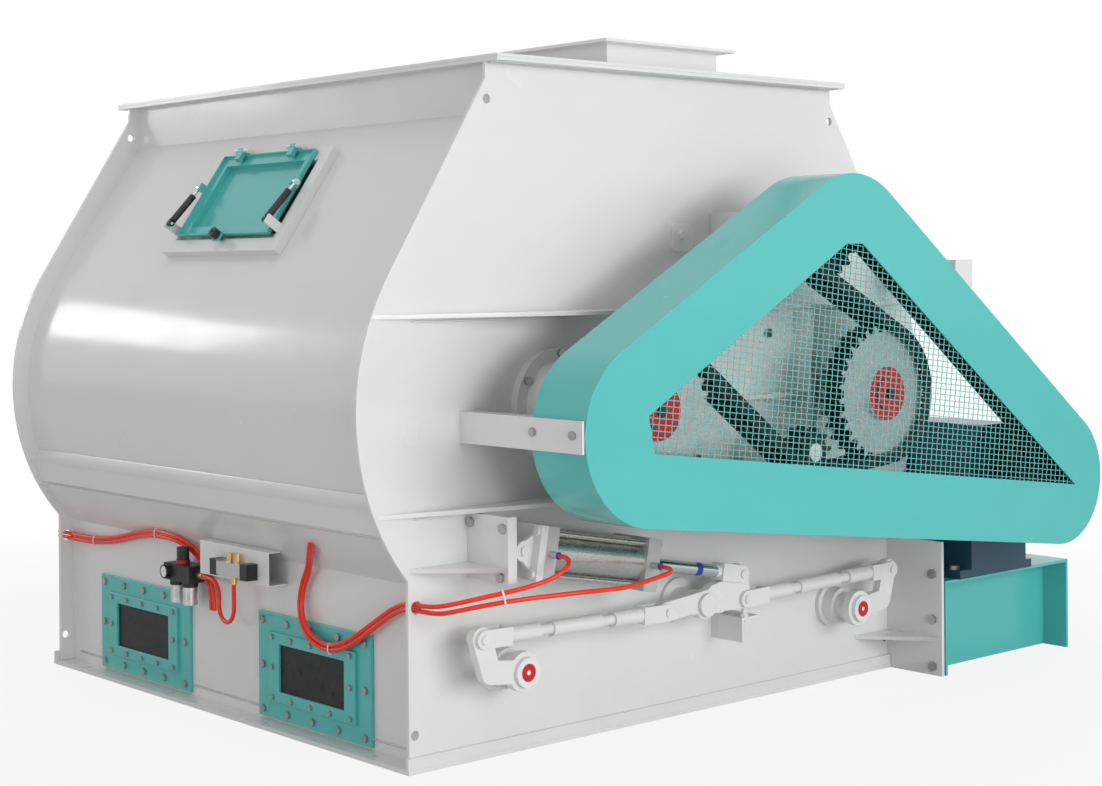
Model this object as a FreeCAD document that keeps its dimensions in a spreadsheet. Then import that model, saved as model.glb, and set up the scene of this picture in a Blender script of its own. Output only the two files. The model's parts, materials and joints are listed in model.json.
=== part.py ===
import FreeCAD, Part
import math
import os

Vector = FreeCAD.Vector
Rotation = FreeCAD.Rotation
Placement = FreeCAD.Placement

# Twin-rotor paddle mixer. Millimetres. X runs across the drive end, Y along
# the rotors with the drive end at -Y, Z up from the floor. The origin is the
# middle of the base, on the floor.

SIZES = {
    # body
    "body_length": 1838, "plate_thickness": 12, "base_half_width": 933,
    "rotor_half_spacing": 446, "rotor_height": 890, "plate_radius": 640,
    "plate_neck_half": 674, "plate_neck_drop": 42,
    "shell_radius": 592, "shell_wall": 8, "shell_neck_half": 640,
    "shell_bend_drop": 127, "shell_foot_angle": 69,
    "top_height": 1795, "cover_thickness": 8, "flange_thickness": 10,
    "flange_half_width": 679, "flange_reach": 55, "seat_clearance": 0.3,
    "panel_half_width": 885, "panel_wall": 6, "panel_bend_height": 455,
    "ledge_foot_half": 997, "ledge_foot_height": 587,
    "ledge_nose_half": 1020, "ledge_nose_height": 650,
    "ledge_top_height": 690, "ledge_wall": 5,
    "base_flange_half": 945, "base_flange_reach": 13, "base_flange_band": 140,
    "base_flange_thickness": 12, "base_strip_height": 40, "base_strip_wall": 11,
    "base_bolt_radius": 9, "base_bolt_inset": 30, "base_bolt_half_y": 750,
    "base_bolt_mid_y": 250, "lifting_hole_radius": 12,
    "ridge_half_width": 62, "ridge_foot_height": 428, "ridge_wall": 8,
    # inlet
    "inlet_half_width": 215, "inlet_length": 390, "inlet_centre_y": -690,
    "inlet_rise": 73, "inlet_wall": 5, "inlet_flange_width": 40,
    "inlet_flange_thickness": 8, "inlet_bolt_radius": 7,
    "inlet_bolt_half_x": 237, "inlet_bolt_half_y": 217,
    # end ribs and bearings
    "rib_thickness": 12, "rib_upper_height": 1124, "rib_lower_height": 634,
    "rib_depth": 140, "rib_flat_half": 360, "far_rib_depth": 90,
    "shaft_radius": 50, "shaft_hole_radius": 62, "bearing_flange_radius": 150,
    "bearing_flange_thickness": 24, "bearing_hub_radius": 118,
    "bearing_length": 82, "bearing_clearance": 0.05,
    # rotors
    "rotor_core_radius": 70, "paddle_tip_gap": 12, "paddle_count": 8,
    "paddle_pitch": 210, "paddle_width": 110, "paddle_height": 130,
    "paddle_thickness": 10, "arm_width": 40, "arm_thickness": 20,
    "shaft_far_reach": 150,
    # chain drive
    "chain_pitch": 38.1, "chain_centre_out": 346, "chain_row_pitch": 45.44,
    "chain_height": 30, "chain_plate": 9, "chain_pin_radius": 5.5,
    "sprocket_tooth_width": 24, "sprocket_teeth": 30, "pinion_teeth": 17,
    "idler_teeth": 17, "tensioner_teeth": 10, "hub_radius": 75, "hub_front_reach": 52,
    "drive_x": 1190, "drive_z": 602, "idler_x": 224, "idler_z": 1330,
    "tensioner_x": 150, "tensioner_z": 745, "idler_shaft_radius": 25,
    # guard
    "guard_front_out": 466, "guard_depth": 195, "guard_wall": 4,
    "guard_left_x": -531, "guard_left_z": 843, "guard_left_radius": 231,
    "guard_top_x": 224, "guard_top_z": 1247, "guard_top_radius": 249,
    "guard_right_x": 1190, "guard_right_z": 602, "guard_right_radius": 199,
    "guard_frame_width": 182, "guard_top_band": 190, "guard_mesh_wire": 1.2, "guard_mesh_lap": 12,
    "bracket_height": 79, "bracket_foot_height": 808, "bracket_wall": 6,
    "bracket_flange": 40, "bracket_right_x": 880, "bracket_right_z": 1183,
    # discharge doors and their linkage
    "door_shaft_half": 654, "door_shaft_height": 230, "door_shaft_radius": 38,
    "door_wall": 8, "door_edge_half": 70, "door_outer_angle": 71,
    "door_end_gap": 5, "door_rib_count": 4, "door_rib_thickness": 12,
    "crank_reach": 140, "crank_rise": 101, "crank_hub_radius": 52,
    "crank_end_radius": 30, "link_plane_out": 106, "link_plate": 25,
    "door_bearing_radius": 66, "door_bearing_length": 52,
    "rocker_height": 320, "rocker_arm": 155, "rocker_pin_drop": 2,
    "rocker_lug_x": 138, "rocker_lug_z": 70, "rocker_pin_radius": 25,
    "rocker_boss_radius": 40, "rocker_opening": 90,
    "fork_ear": 10, "fork_gap": 1, "fork_height": 46, "fork_depth": 76,
    "fork_tube_reach": 190, "fork_tube_radius": 21,
    "link_pin_radius": 12, "tie_rod_radius": 14, "turnbuckle_radius": 20,
    "turnbuckle_half": 85, "stop_x": 140, "stop_height": 267, "stop_drop": 70, "stop_width": 70,
    # air cylinder
    "cylinder_pivot_x": -682, "cylinder_pivot_z": 540, "cylinder_cap": 140,
    "cylinder_tube_radius": 66, "cylinder_bore_radius": 62.5,
    "cylinder_rear_cap": 38, "cylinder_front_cap": 48, "cylinder_tube": 319,
    "cylinder_eye_reach": 48, "cylinder_foot_wall": 22, "cylinder_eye_radius": 22,
    "cylinder_pin_radius": 12.5, "rod_radius": 18, "rod_fork_reach": 81, "port_reach": 26,
    "cylinder_bracket_x": -745, "cylinder_bracket_depth": 161,
    "cylinder_bracket_foot": 465,
    # drive unit and its base
    "motor_base_gap": 2, "motor_base_width": 648, "motor_base_height": 287,
    "motor_base_front_out": 209, "motor_base_length": 800,
    "motor_base_wall": 10, "motor_base_flange": 60, "motor_base_recess": 90,
    "side_wall_x": 928, "side_wall_height": 408, "side_wall_thickness": 12,
    "reducer_length": 330, "reducer_half_width": 185, "motor_radius": 155,
    "motor_length": 420, "output_shaft_radius": 45,
    # side windows
    "window_centre_y": 446, "window_centre_z": 163, "window_length": 526,
    "window_height": 288, "window_frame_wall": 10, "cover_length": 404,
    "cover_height": 190, "window_cover_wall": 8, "pane_length": 305,
    "pane_height": 130, "pane_wall": 5, "window_bolt_radius": 7,
    "window_bolt_head": 7,
    # access door
    "access_top": 102, "access_length": 288, "access_half_width": 238,
    "pan_margin": 30, "pan_floor": 8, "door_rim_low": 27, "door_rim_high": 40,
    "door_sheet": 4, "rail_half_width": 300, "rail_top": 90,
    "rail_bottom": 440, "rail_width": 42, "rail_height": 25,
    "hinge_slope": 94, "hinge_lift": 48, "hinge_half_y": 136,
    "hinge_length": 72, "hinge_radius": 7.5, "hinge_pin_radius": 5,
    "access_opening": 60,
    "strut_half_y": 253, "strut_foot_slope": 369, "strut_foot_lift": 70,
    "strut_head_slope": 225, "strut_head_lift": 48, "strut_radius": 10,
    "strut_rod_radius": 4, "strut_tube_length": 112, "strut_pin_radius": 4,
    "knob_slope": 400, "knob_radius": 15, "knob_height": 20,
    # air units on the side panel
    "channel_near_y": -318, "channel_far_y": 32, "channel_low": 391,
    "channel_high": 485, "channel_out": 950, "channel_wall": 4,
    "unit_near_y": 76, "unit_far_y": 222, "unit_low": 355, "unit_high": 403,
    "unit_out": 963, "bowl_radius": 20, "bowl_length": 66,
    "unit_knob_y": 150, "unit_knob_radius": 18, "unit_knob_height": 48,
    "gauge_radius": 20, "air_port_radius": 5.9, "air_port_depth": 12,
    "valve_near_y": -232, "valve_far_y": -112, "valve_height": 44,
    "valve_centre_z": 427, "fitting_radius": 9, "fitting_length": 24,
    # air hoses
    "hose_radius": 6, "hose_hole_radius": 16, "hose_hole_inset": 25,
    "hose_hole_z": 408, "hose_spread": 6.8,
    "bolt_radius": 8, "bolt_head": 8,
}

doc = FreeCAD.newDocument("feed_mixer")
sheet = doc.addObject("Spreadsheet::Sheet", "sizes")
for row, (alias, value) in enumerate(SIZES.items(), start=1):
    sheet.set("A%d" % row, alias)
    sheet.set("B%d" % row, str(value))
    sheet.setAlias("B%d" % row, alias)
doc.recompute()


def size(alias):
    return float(sheet.get(alias))


NODES = []


def node(obj, label=None):
    """Count an object as a sub-part of the machine."""
    if label:
        obj.Label = label
    NODES.append(obj)
    return obj


def feature(label, shape):
    """A sub-part whose shape is worked out from the sheet in code."""
    obj = doc.addObject("Part::Feature", label)
    obj.Shape = shape
    return node(obj, label)


# Outline helpers: an outline is a list of curves in its own flat plane.

def flat(point):
    return Vector(point[0], point[1], 0)


def lines(points, closed=True):
    ends = points[1:] + points[:1] if closed else points[1:]
    starts = points if closed else points[:-1]
    return [Part.LineSegment(flat(a), flat(b)) for a, b in zip(starts, ends)]


def arc(centre, radius, start_angle, end_angle):
    circle = Part.Circle(flat(centre), Vector(0, 0, 1), radius)
    return Part.ArcOfCircle(circle, math.radians(start_angle), math.radians(end_angle))


def circle(centre, radius):
    return Part.Circle(flat(centre), Vector(0, 0, 1), radius)


def polar(centre, radius, angle):
    turn = math.radians(angle)
    return (centre[0] + radius * math.cos(turn), centre[1] + radius * math.sin(turn))


def wire_face(outline, holes=()):
    """A flat face in the XY plane from an outline and its holes."""
    wires = [Part.Wire(Part.__sortEdges__([curve.toShape() for curve in outline]))]
    for hole in holes:
        wires.append(Part.Wire(Part.__sortEdges__([curve.toShape() for curve in hole])))
    return Part.Face(wires)


TO_XZ = Rotation(Vector(1, 0, 0), 90)
TO_YZ = Rotation(Vector(0, 0, 1), Vector(1, 0, 0))


def upright(outline, front_y, depth, holes=()):
    """Extrude an XZ outline from front_y towards +Y."""
    face = wire_face(outline, holes)
    solid = face.extrude(Vector(0, 0, depth))
    solid.Placement = Placement(Vector(0, front_y + depth, 0), TO_XZ)
    return solid.copy()


def level(outline, foot_z, height, holes=()):
    """Extrude an XY outline from foot_z towards +Z."""
    solid = wire_face(outline, holes).extrude(Vector(0, 0, height))
    solid.translate(Vector(0, 0, foot_z))
    return solid


def block(low, high):
    return Part.makeBox(high[0] - low[0], high[1] - low[1], high[2] - low[2], Vector(*low))


def rod_y(x, y_low, y_high, z, radius):
    return Part.makeCylinder(radius, y_high - y_low, Vector(x, y_low, z), Vector(0, 1, 0))


def rod_x(x_low, x_high, y, z, radius):
    return Part.makeCylinder(radius, x_high - x_low, Vector(x_low, y, z), Vector(1, 0, 0))


def rod_z(x, y, z_low, z_high, radius):
    return Part.makeCylinder(radius, z_high - z_low, Vector(x, y, z_low), Vector(0, 0, 1))


def hexagon(x, y, z, radius, height, axis):
    """A hexagon bolt head that stands along axis."""
    points = [polar((0, 0), radius, 60 * k) for k in range(6)]
    head = wire_face(lines(points)).extrude(Vector(0, 0, height))
    head.Placement = Placement(Vector(x, y, z), Rotation(Vector(0, 0, 1), Vector(*axis)))
    return head


def union(shapes):
    return shapes[0].multiFuse(shapes[1:]).removeSplitter()


def mirrored(shape):
    return shape.mirror(Vector(0, 0, 0), Vector(1, 0, 0))


def group(shapes):
    return Part.makeCompound(shapes)


def sketch_on(body, name, curves, role):
    sketch = body.newObject("Sketcher::SketchObject", name)
    plane = [item for item in body.Origin.OriginFeatures if item.Role == role][0]
    sketch.AttachmentSupport = [(plane, "")]
    sketch.MapMode = "FlatFace"
    sketch.addGeometry(curves, False)
    return sketch


def end_profile(label, outlines, length, base_y):
    """A body padded along Y from an XZ sketch; length and base_y are expressions."""
    body = doc.addObject("PartDesign::Body", label)
    curves = [curve for outline in outlines for curve in outline]
    sketch = sketch_on(body, label + "_sketch", curves, "XZ_Plane")
    pad = body.newObject("PartDesign::Pad", label + "_pad")
    pad.Profile = sketch
    pad.setExpression("Length", length)
    sketch.Visibility = False
    body.setExpression("Placement.Base.y", base_y)
    return node(body, label)


# Places that several sub-parts share

half_length = size("body_length") / 2
inner_y = half_length - size("plate_thickness")
spacing = size("rotor_half_spacing")
axis_z = size("rotor_height")
trough = (spacing, axis_z)
floor_z = size("base_flange_thickness")
top_z = size("top_height") - size("cover_thickness")
flange_z = top_z - size("flange_thickness")
door_axis = (size("door_shaft_half"), size("door_shaft_height"))
chain_y = -half_length - size("chain_centre_out")
guard_y = -half_length - size("guard_front_out")
link_y = -half_length - size("link_plane_out")
motor_base_y = -half_length - size("motor_base_front_out")
hose_hole_x = size("base_half_width") - size("hose_hole_inset")


def tangent_angle(point, radius):
    """Direction, from the trough centre, of the tangent point seen from point."""
    dx = point[0] - trough[0]
    dz = point[1] - trough[1]
    return math.degrees(math.atan2(dz, dx) - math.acos(radius / math.hypot(dx, dz)))


neck = (size("plate_neck_half"), flange_z - size("plate_neck_drop"))
plate_angle = tangent_angle(neck, size("plate_radius"))
bend = (size("shell_neck_half"), flange_z - size("shell_bend_drop"))
shell_angle = tangent_angle(bend, size("shell_radius"))
slope = math.radians(shell_angle)


def on_circle(x, radius, lower=True):
    """Height where a trough circle of this radius crosses x."""
    rise = math.sqrt(radius ** 2 - (x - trough[0]) ** 2)
    return trough[1] - rise if lower else trough[1] + rise


def end_plate_outline():
    """Half of the end plate's outline on +X, and its mirror image."""
    base = size("base_half_width")
    radius = size("plate_radius")
    foot = (base, on_circle(base, radius))
    tip = polar(trough, radius, plate_angle)
    start = math.degrees(math.atan2(foot[1] - trough[1], foot[0] - trough[0]))
    right = [
        (base, floor_z), foot, "arc", tip, neck, (neck[0], flange_z),
    ]
    curves = [
        Part.LineSegment(flat(right[0]), flat(foot)),
        arc(trough, radius, start, plate_angle),
        Part.LineSegment(flat(tip), flat(neck)),
        Part.LineSegment(flat(neck), flat(right[5])),
        Part.LineSegment(flat(right[5]), flat((-neck[0], flange_z))),
        Part.LineSegment(flat((-neck[0], flange_z)), flat((-neck[0], neck[1]))),
        Part.LineSegment(flat((-neck[0], neck[1])), flat((-tip[0], tip[1]))),
        arc((-trough[0], trough[1]), radius, 180 - plate_angle, 180 - start),
        Part.LineSegment(flat((-foot[0], foot[1])), flat((-base, floor_z))),
        Part.LineSegment(flat((-base, floor_z)), flat((base, floor_z))),
    ]
    return curves


def end_plate_holes():
    holes = []
    for side in (-1, 1):
        holes.append([circle((side * spacing, axis_z), size("shaft_hole_radius"))])
        holes.append([circle((side * door_axis[0], door_axis[1]), size("door_shaft_radius") + 4)])
        holes.append([circle((side * (neck[0] - 4), flange_z - 95), size("lifting_hole_radius"))])
        holes.append([circle((side * (size("base_half_width") - 18), 92), size("lifting_hole_radius"))])
    holes.append([circle((-hose_hole_x, size("hose_hole_z")), size("hose_hole_radius"))])
    return holes


def make_end_plates():
    outlines = [end_plate_outline()] + end_plate_holes()
    end_profile("drive_end_plate", outlines, "sizes.plate_thickness",
                "sizes.plate_thickness - sizes.body_length / 2")
    end_profile("far_end_plate", outlines, "sizes.plate_thickness", "sizes.body_length / 2")


def shell_outline(side):
    """The trough sheet: neck, sloping panel and round wall down to the door edge."""
    outer = size("shell_radius")
    wall = size("shell_wall")
    inner = outer - wall
    foot = -size("shell_foot_angle")
    inner_x = bend[0] - wall
    reach = inner - (inner_x - trough[0]) * math.cos(slope)
    inner_bend = (inner_x, trough[1] + reach / math.sin(slope))
    top = flange_z

    def at(point):
        return (side * point[0], point[1])

    def wall_arc(radius):
        if side > 0:
            return arc(trough, radius, foot, shell_angle)
        return arc(at(trough), radius, 180 - shell_angle, 180 - foot)

    outer_tip = polar(trough, outer, shell_angle)
    inner_tip = polar(trough, inner, shell_angle)
    outer_foot = polar(trough, outer, foot)
    inner_foot = polar(trough, inner, foot)
    curves = lines([at(p) for p in ((bend[0], top), bend, outer_tip)], closed=False)
    curves.append(wall_arc(outer))
    curves += lines([at(outer_foot), at(inner_foot)], closed=False)
    curves.append(wall_arc(inner))
    chain = (inner_tip, inner_bend, (inner_x, top), (bend[0], top))
    curves += lines([at(p) for p in chain], closed=False)
    return curves


# The sloping left panel has its own flat frame: s runs down the slope from the
# bend line, lift stands out from the sheet.

def on_slope(s, lift):
    x = -bend[0] - s * math.sin(slope) - lift * math.cos(slope)
    z = bend[1] - s * math.cos(slope) + lift * math.sin(slope)
    return (x, z)


def slope_block(s_low, s_high, y_low, y_high, lift_low, lift_high):
    corners = [on_slope(s_low, lift_low), on_slope(s_high, lift_low),
               on_slope(s_high, lift_high), on_slope(s_low, lift_high)]
    return upright(lines(corners), y_low, y_high - y_low)


def slope_rod(s, lift, y_low, y_high, radius):
    x, z = on_slope(s, lift)
    return rod_y(x, y_low, y_high, z, radius)


SLOPE_OUT = (-math.cos(slope), 0, math.sin(slope))


def pan_reach():
    top = size("access_top") + size("pan_margin")
    bottom = size("access_top") + size("access_length") - size("pan_margin")
    return top, bottom, size("access_half_width") - size("pan_margin")


def make_shells():
    end_profile("shell_right", [shell_outline(1)],
                "sizes.body_length - 2 * sizes.plate_thickness",
                "sizes.body_length / 2 - sizes.plate_thickness")
    sheet_body = end_profile("shell_left_sheet", [shell_outline(-1)],
                             "sizes.body_length - 2 * sizes.plate_thickness",
                             "sizes.body_length / 2 - sizes.plate_thickness")
    NODES.remove(sheet_body)
    top, bottom, half = pan_reach()
    gap = 6
    opening = doc.addObject("Part::Feature", "access_opening_cutter")
    opening.Shape = slope_block(top - gap, bottom + gap, -half - gap, half + gap, -30, 20)
    cut = doc.addObject("Part::Cut", "shell_left")
    cut.Base = sheet_body
    cut.Tool = opening
    node(cut, "shell_left")


def make_ridge():
    """The roof-shaped beam between the two discharge doors."""
    half = size("ridge_half_width")
    foot = size("ridge_foot_height")
    wall = size("ridge_wall")
    radius = size("shell_radius")

    def roof(half_width, low, size_radius):
        edge = on_circle(half_width, size_radius)
        peak = on_circle(0, size_radius)
        a0 = math.degrees(math.atan2(peak - trough[1], -trough[0])) % 360
        a1 = math.degrees(math.atan2(edge - trough[1], half_width - trough[0])) % 360
        right = arc(trough, size_radius, min(a0, a1), max(a0, a1))
        left = arc((-trough[0], trough[1]), size_radius, 540 - max(a0, a1), 540 - min(a0, a1))
        return [right, left] + lines([(half_width, edge), (half_width, low), (-half_width, low),
                                      (-half_width, edge)], closed=False)

    outer = roof(half, foot, radius)
    inner = roof(half - 2 * wall, foot + wall, radius + wall)
    end_profile("ridge_beam", [outer, inner], "sizes.body_length - 2 * sizes.plate_thickness",
                "sizes.body_length / 2 - sizes.plate_thickness")


def panel_outline(side):
    """Upright lower wall and the sheet that leans out from it to the ledge."""
    wall = size("panel_wall")
    outer = size("panel_half_width")
    foot = (size("ledge_foot_half"), size("ledge_foot_height"))
    bend_z = size("panel_bend_height")
    lean = math.atan2(foot[0] - outer, foot[1] - bend_z)
    shift = wall / math.cos(lean)
    inner_bend = bend_z + wall * math.tan(lean / 2)
    points = [(outer, floor_z), (outer, bend_z), foot, (foot[0] - shift, foot[1]),
              (outer - wall, inner_bend), (outer - wall, floor_z)]
    return [(side * x, z) for x, z in points]


def window_hole(centre_y):
    half = size("pane_length") / 2 + 12
    rise = size("pane_height") / 2 + 10
    middle = size("window_centre_z")
    outer = -size("panel_half_width") - 1
    return block((outer, centre_y - half, middle - rise),
                 (outer + size("panel_wall") + 2, centre_y + half, middle + rise))


def make_lower_panels():
    length = 2 * inner_y
    right = upright(lines(panel_outline(1)), -inner_y, length)
    feature("lower_panel_right", right)
    left = upright(lines(panel_outline(-1)), -inner_y, length)
    for side in (-1, 1):
        left = left.cut(window_hole(side * size("window_centre_y")))
    feature("lower_panel_left", left)


def make_ledges():
    wall = size("ledge_wall")
    foot = (size("ledge_foot_half"), size("ledge_foot_height"))
    nose = (size("ledge_nose_half"), size("ledge_nose_height"))
    top_z_here = size("ledge_top_height")
    gap = size("seat_clearance")
    rise = math.sqrt(size("shell_radius") ** 2 - (trough[1] - top_z_here) ** 2)
    top = (trough[0] + rise + gap, top_z_here)
    inner = [(top[0], top[1] - wall - 3), (nose[0] - wall, nose[1] - 1), (foot[0] - wall, foot[1] + gap)]
    points = [top, nose, (foot[0], foot[1] + gap)] + inner[::-1]
    right = upright(lines(points), -inner_y, 2 * inner_y)
    feature("ledge_rails", group([right, mirrored(right)]))


def make_base_flange():
    half_x = size("base_flange_half")
    half_y = half_length + size("base_flange_reach")
    band = size("base_flange_band")
    end_y = inner_y + 1
    thick = size("base_flange_thickness")
    ring = level(lines([(-half_x, -half_y), (half_x, -half_y), (half_x, half_y), (-half_x, half_y)]),
                 0, thick)
    ring = ring.cut(block((-half_x + band, -end_y, -1), (half_x - band, end_y, thick + 1)))
    wall = size("base_strip_wall")
    pieces = [ring]
    start = half_length + size("seat_clearance")
    for side in (-1, 1):
        low = start if side > 0 else -start - wall
        pieces.append(block((-half_x, low, thick - 0.5), (half_x, low + wall, size("base_strip_height"))))
    flange = union(pieces)
    radius = size("base_bolt_radius")
    for x in (-half_x + size("base_bolt_inset"), half_x - size("base_bolt_inset")):
        for y in (size("base_bolt_half_y"), size("base_bolt_mid_y")):
            for side in (-1, 1):
                flange = flange.cut(rod_z(x, side * y, -1, thick + 1, radius))
    feature("base_flange", flange)


def inlet_reach():
    middle = size("inlet_centre_y")
    half = size("inlet_length") / 2
    return middle - half, middle + half, size("inlet_half_width")


def make_top():
    half_x = size("flange_half_width")
    half_y = half_length + size("flange_reach")
    rim = level(lines([(-half_x, -half_y), (half_x, -half_y), (half_x, half_y), (-half_x, half_y)]),
                flange_z, size("flange_thickness"))
    inner_x = size("shell_neck_half") - size("shell_wall") - 40
    inner_end = inner_y - 40
    hole = block((-inner_x, -inner_end, flange_z - 1), (inner_x, inner_end, top_z + 1))
    feature("top_flange", rim.cut(hole))
    y_low, y_high, half = inlet_reach()
    wall = size("inlet_wall")
    plate = level(lines([(-half_x, -half_y), (half_x, -half_y), (half_x, half_y), (-half_x, half_y)]),
                  top_z, size("cover_thickness"))
    hole = block((-half + wall, y_low + wall, top_z - 1), (half - wall, y_high - wall, size("top_height") + 1))
    feature("top_cover", plate.cut(hole))
    foot = size("top_height")
    tall = foot + size("inlet_rise")
    thick = size("inlet_flange_thickness")
    reach = size("inlet_flange_width")
    tube = block((-half, y_low, foot), (half, y_high, tall))
    rim = block((-half - reach, y_low - reach, tall - thick), (half + reach, y_high + reach, tall))
    hollow = block((-half + wall, y_low + wall, foot - 1), (half - wall, y_high - wall, tall + 1))
    box = union([tube, rim]).cut(hollow)
    for x in (-size("inlet_bolt_half_x"), size("inlet_bolt_half_x")):
        for side in (-1, 1):
            y = size("inlet_centre_y") + side * size("inlet_bolt_half_y")
            box = box.cut(rod_z(x, y, tall - thick - 1, tall + 1, size("inlet_bolt_radius")))
    feature("inlet_box", box)


def rib(foot_z, depth, root_half, side):
    """A level stiffener on an end plate, tapered towards both edges."""
    flat_half = size("rib_flat_half")
    root = side * half_length
    tip = side * (half_length + depth)
    points = [(-root_half, root), (root_half, root), (flat_half, tip), (-flat_half, tip)]
    return level(lines(points), foot_z, size("rib_thickness"))


def make_ribs():
    upper = size("rib_upper_height")
    lower = size("rib_lower_height")
    margin = 6
    upper_half = on_plate_edge(upper) - margin
    lower_half = on_plate_edge(lower) - margin
    ribs = [
        rib(upper, size("rib_depth"), upper_half, -1), rib(lower, size("rib_depth"), lower_half, -1),
        rib(upper, size("far_rib_depth"), upper_half, 1), rib(lower, size("far_rib_depth"), lower_half, 1),
    ]
    feature("end_ribs", group(ribs))


def on_plate_edge(z):
    """Half width of the end plate at height z, on its round stretch."""
    return trough[0] + math.sqrt(size("plate_radius") ** 2 - (z - trough[1]) ** 2)


def bearing(x, z, side, flange_radius, hub_radius, bore, flange_length, length):
    start = half_length
    low = start if side > 0 else -start - flange_length
    high = low + flange_length
    flange = rod_y(x, low, high, z, flange_radius)
    far = start if side > 0 else -start - length
    hub = rod_y(x, far, far + length, z, hub_radius)
    housing = union([flange, hub])
    return housing.cut(rod_y(x, far - 1, far + length + 1, z, bore))


def make_bearings():
    bore = size("shaft_radius") + size("bearing_clearance")
    housings = []
    for side in (-1, 1):
        for x in (-spacing, spacing):
            housings.append(bearing(x, axis_z, side, size("bearing_flange_radius"),
                                    size("bearing_hub_radius"), bore,
                                    size("bearing_flange_thickness"), size("bearing_length")))
    bore = size("door_shaft_radius") + size("bearing_clearance")
    for side in (-1, 1):
        for x in (-door_axis[0], door_axis[0]):
            housings.append(bearing(x, door_axis[1], side, size("door_bearing_radius"),
                                    size("door_bearing_radius") - 14, bore,
                                    14, size("door_bearing_length")))
    feature("flange_bearings", group(housings))


def pitch_radius(teeth):
    return size("chain_pitch") / (2 * math.sin(math.pi / teeth))


def make_rotor(label, x, phase, shift):
    """A solid shaft with paired paddle arms, each pair turned on from the last."""
    core = size("rotor_core_radius")
    front = chain_y - size("hub_front_reach")
    back = half_length + size("shaft_far_reach")
    shaft = rod_y(x, front + 4, back, axis_z, size("shaft_radius"))
    body = rod_y(x, -inner_y + 4, inner_y - 4, axis_z, core)
    tip = size("shell_radius") - size("shell_wall") - size("paddle_tip_gap")
    pieces = [shaft, body]
    count = int(size("paddle_count"))
    for k in range(count):
        y = (k - (count - 1) / 2) * size("paddle_pitch") + shift
        for half_turn in (0, 180):
            angle = phase + 45 * k + half_turn
            arm_top = tip - size("paddle_height") / 2
            arm = Part.makeBox(size("arm_thickness"), size("arm_width"), arm_top - core + 20,
                               Vector(-size("arm_thickness") / 2, -size("arm_width") / 2, core - 20))
            twist = 45 if k % 2 == 0 else -45
            blade = Part.makeBox(size("paddle_thickness"), size("paddle_width"), size("paddle_height"),
                                 Vector(-size("paddle_thickness") / 2, -size("paddle_width") / 2, 0))
            blade.rotate(Vector(0, 0, 0), Vector(0, 0, 1), twist)
            blade.translate(Vector(0, 0, math.sqrt(tip ** 2 - size("paddle_width") ** 2 / 8)
                                   - size("paddle_height")))
            paddle = arm.fuse(blade)
            paddle.rotate(Vector(0, 0, 0), Vector(0, 1, 0), angle)
            paddle.translate(Vector(x, y, axis_z))
            pieces.append(paddle)
    feature(label, union(pieces))


def sprocket(x, z, teeth, phase, hub_radius, bore, front, back):
    """A two-row chain wheel; phase is the angle of one tooth gap."""
    pitch = pitch_radius(teeth)
    seat = size("chain_height") / 2 + size("seat_clearance")
    rim = rod_y(x, chain_y - size("chain_row_pitch") / 2 - size("sprocket_tooth_width") / 2,
                chain_y + size("chain_row_pitch") / 2 + size("sprocket_tooth_width") / 2,
                z, pitch - seat)
    hub = rod_y(x, front, back, z, hub_radius)
    wheel = union([rim, hub])
    step = 360.0 / teeth
    points = []
    root = pitch - 11
    tip = pitch + 8
    for k in range(teeth):
        gap = phase + k * step
        for turn, radius in ((-0.24, root), (0.24, root), (0.40, tip), (0.60, tip)):
            points.append(polar((x, z), radius, gap + turn * step))
    disc = lines(points)
    half = size("sprocket_tooth_width") / 2
    for row in (-0.5, 0.5):
        middle = chain_y + row * size("chain_row_pitch")
        wheel = wheel.fuse(upright(disc, middle - half, 2 * half))
    wheel = wheel.removeSplitter()
    if bore:
        wheel = wheel.cut(rod_y(x, front - 1, back + 1, z, bore))
    return wheel


def chain_stations():
    """The wheels that the chain runs round, in order, with the turning sense of each."""
    return [
        ((-spacing, axis_z), pitch_radius(int(size("sprocket_teeth"))), 1),
        ((size("drive_x"), size("drive_z")), pitch_radius(int(size("pinion_teeth"))), 1),
        ((size("idler_x"), size("idler_z")), pitch_radius(int(size("idler_teeth"))), 1),
        ((spacing, axis_z), pitch_radius(int(size("sprocket_teeth"))), -1),
        ((size("tensioner_x"), size("tensioner_z")), pitch_radius(int(size("tensioner_teeth"))), -1),
    ]


def chain_path():
    """Straight runs and arcs of the chain's pitch line, as (kind, data, length)."""
    stations = chain_stations()
    runs = []
    for k, (centre, radius, sense) in enumerate(stations):
        following, next_radius, next_sense = stations[(k + 1) % len(stations)]
        dx = following[0] - centre[0]
        dz = following[1] - centre[1]
        span = math.hypot(dx, dz)
        lean = math.asin((next_sense * next_radius - sense * radius) / span)
        heading = math.atan2(dz, dx) - lean
        left = (-math.sin(heading), math.cos(heading))
        start = (centre[0] - sense * radius * left[0], centre[1] - sense * radius * left[1])
        end = (following[0] - next_sense * next_radius * left[0],
               following[1] - next_sense * next_radius * left[1])
        runs.append((start, end, heading))
    path = []
    for k, (centre, radius, sense) in enumerate(stations):
        entry = runs[k - 1][1]
        leave = runs[k][0]
        a0 = math.atan2(entry[1] - centre[1], entry[0] - centre[0])
        a1 = math.atan2(leave[1] - centre[1], leave[0] - centre[0])
        wrap = (sense * (a1 - a0)) % (2 * math.pi)
        path.append(("arc", (centre, radius, a0, sense * wrap), radius * wrap))
        start, end, heading = runs[k]
        path.append(("line", (start, end), math.hypot(end[0] - start[0], end[1] - start[1])))
    return path


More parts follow.
